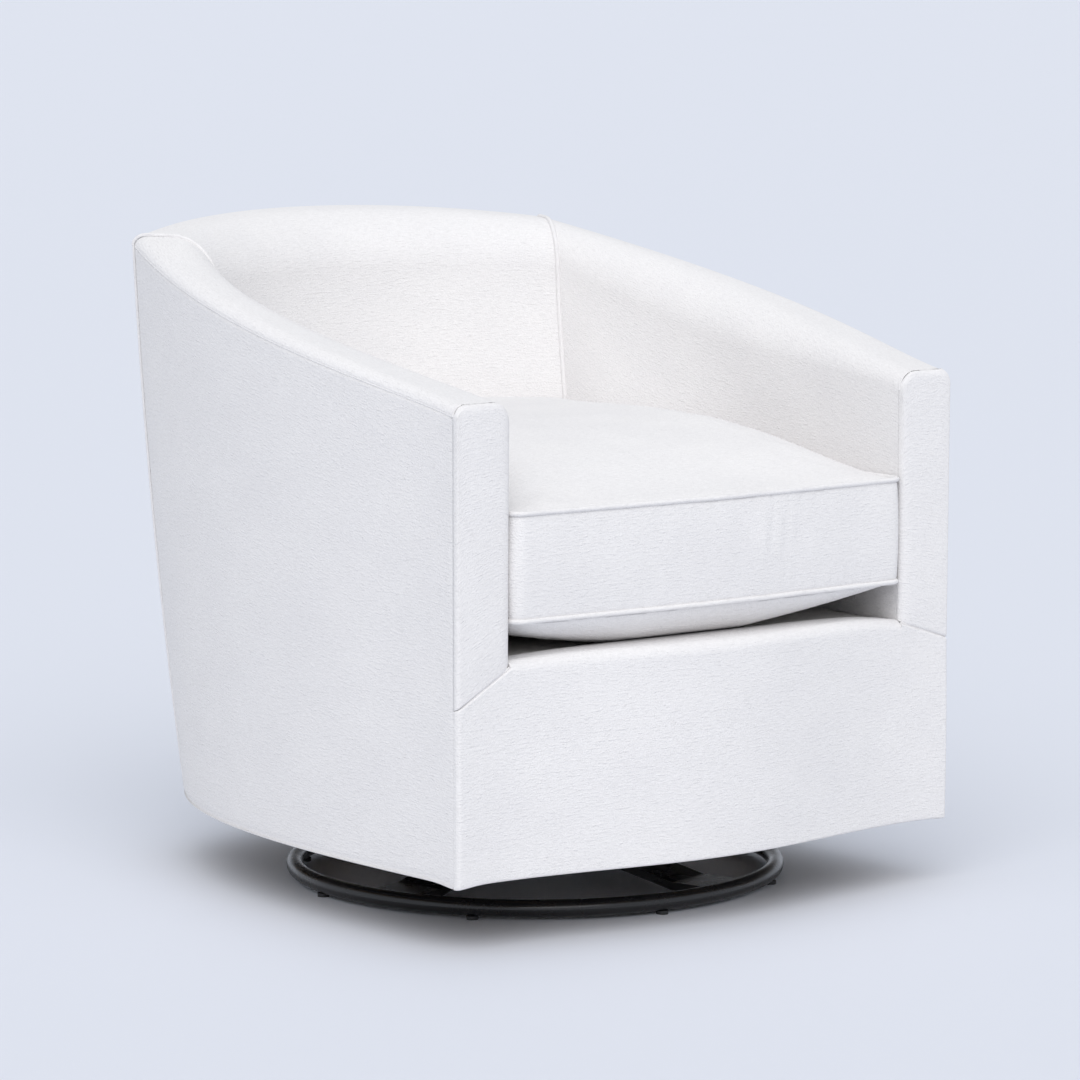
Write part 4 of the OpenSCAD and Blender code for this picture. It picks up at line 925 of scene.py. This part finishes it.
# Zipper at the back of the cushion
ZIP_Z, ZIP_HALF = BOX_LOW + BOX_H / 2, 6.0
ZIP_FACE, ZIP_REAR = BACK_ROOM - 1.6, 6.4
zip_line = lin(1.4, 2.6, 40)
tape = [[(*well_at(p, ZIP_FACE), ZIP_Z + v * ZIP_HALF) for v in (-1, -0.4, 0, 0.4, 1)] for p in zip_line]
rear = [[(*well_at(p, ZIP_REAR), ZIP_Z + v * ZIP_HALF) for v in (1, 0, -1)] for p in zip_line]
zipper = grid("zipper_tape", [a + b for a, b in zip(tape, rear)], wrap=True, caps=True, mat=ZIPPER,
              body="seat_cushion")
coil = []
for i in range(400):
    q = well_at(mix(1.41, 2.59, i / 399), 4.9)
    coil.append((q[0], q[1], ZIP_Z + math.sin(i * 1.9)))
tube("zipper_coil", coil, 0.55, sides=5, body="seat_cushion", mat=ZIPPER)
q = well_at(1.44, 4.6)
pull = [(q[0], q[1], ZIP_Z + 2), (q[0] + 0.5, q[1] + 0.6, ZIP_Z - 8), (q[0] + 0.8, q[1] + 1, ZIP_Z - 20)]
tube("zipper_pull", pull, lambda t: 1.3 + 1.2 * math.sin(math.pi * t), sides=8, body="seat_cushion",
     mat=MATS["zinc_steel"])
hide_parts("cushion_zipper")

# Dust cover under the seat, a black cloth stapled to the seat rails
DUST_Z, DUST_SAG, DUST_BACK = 226.2, 3.0, 338.0


def dust_cover():
    """The cloth, one open sheet; it sags a little between the rails."""
    rows = []
    side = [in_wall(p, DUST_Z, 5.6) for p in lin(0.03, 0.985, 26) + lin(1.03, 1.97, 22)]
    first = side[0]
    for t in lin(0.0, 1.0, 6)[:-1]:
        row = []
        for s in np.linspace(-1, 1, 49):
            x = first[0] * s
            row.append((x, mix(front_at(x) + FACING_T + 0.5, first[1], t), 0.0))
        rows.append(row)
    rows += [[(q[0] * s, q[1], 0.0) for s in np.linspace(-1, 1, 49)] for q in side]
    P = np.array(rows)
    for row in P:
        wide = abs(row[0][0])
        for q in row:
            inside = min(wide - abs(q[0]), q[1] - front_at(q[0]) - FACING_T, DUST_BACK - q[1])
            sag = clamp(inside / 150)
            q[2] = DUST_Z - DUST_SAG * eased(sag) + 0.6 * wob((q[0], q[1], 3.0), 70, 11) * sag
    ob = grid("dust_cloth", P, mat=LINING)
    wide = P[:, :, 0].max() - P[:, :, 0].min()
    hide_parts("dust_cover")


dust_cover()

# Floor, a world that lights evenly but shows a pale backdrop, and one soft sun
floor_mat = shade("floor", (0.72, 0.74, 0.80), 0.6)[0]
bpy.ops.mesh.primitive_plane_add(size=240, location=(0, 0, 0))
floor = bpy.context.object
floor.name = "floor"
floor.data.materials.append(floor_mat)

world = bpy.data.worlds.new("world")
scene.world = world
world.use_nodes = True
bg = world.node_tree.nodes["Background"]
bg.inputs["Color"].default_value = (0.9, 0.94, 1.0, 1)
bg.inputs["Strength"].default_value = 0.69
t = world.node_tree
path = t.nodes.new("ShaderNodeLightPath")
seen = math_node(t, "MAXIMUM", path.outputs["Is Camera Ray"], path.outputs["Is Glossy Ray"])
seen = math_node(t, "MAXIMUM", seen, path.outputs["Is Transmission Ray"])
pale = node(t, "ShaderNodeBackground", Color=(0.75, 0.79, 0.87, 1), Strength=1.0)
both = t.nodes.new("ShaderNodeMixShader")
t.links.new(seen, both.inputs[0])
t.links.new(bg.outputs[0], both.inputs[1])
t.links.new(pale.outputs[0], both.inputs[2])
t.links.new(both.outputs[0], t.nodes["World Output"].inputs["Surface"])


def sun(name, source, power, wide, color):
    d = bpy.data.lights.new(name, "SUN")
    d.energy = power
    d.angle = math.radians(wide)
    d.color = color
    o = bpy.data.objects.new(name, d)
    scene.collection.objects.link(o)
    o.rotation_euler = Vector(source).to_track_quat("Z", "Y").to_euler()


sun("key", (-0.28, -0.38, 0.5), 1.68, 60, (1.0, 0.99, 0.985))
scene.view_settings.view_transform = "Standard"
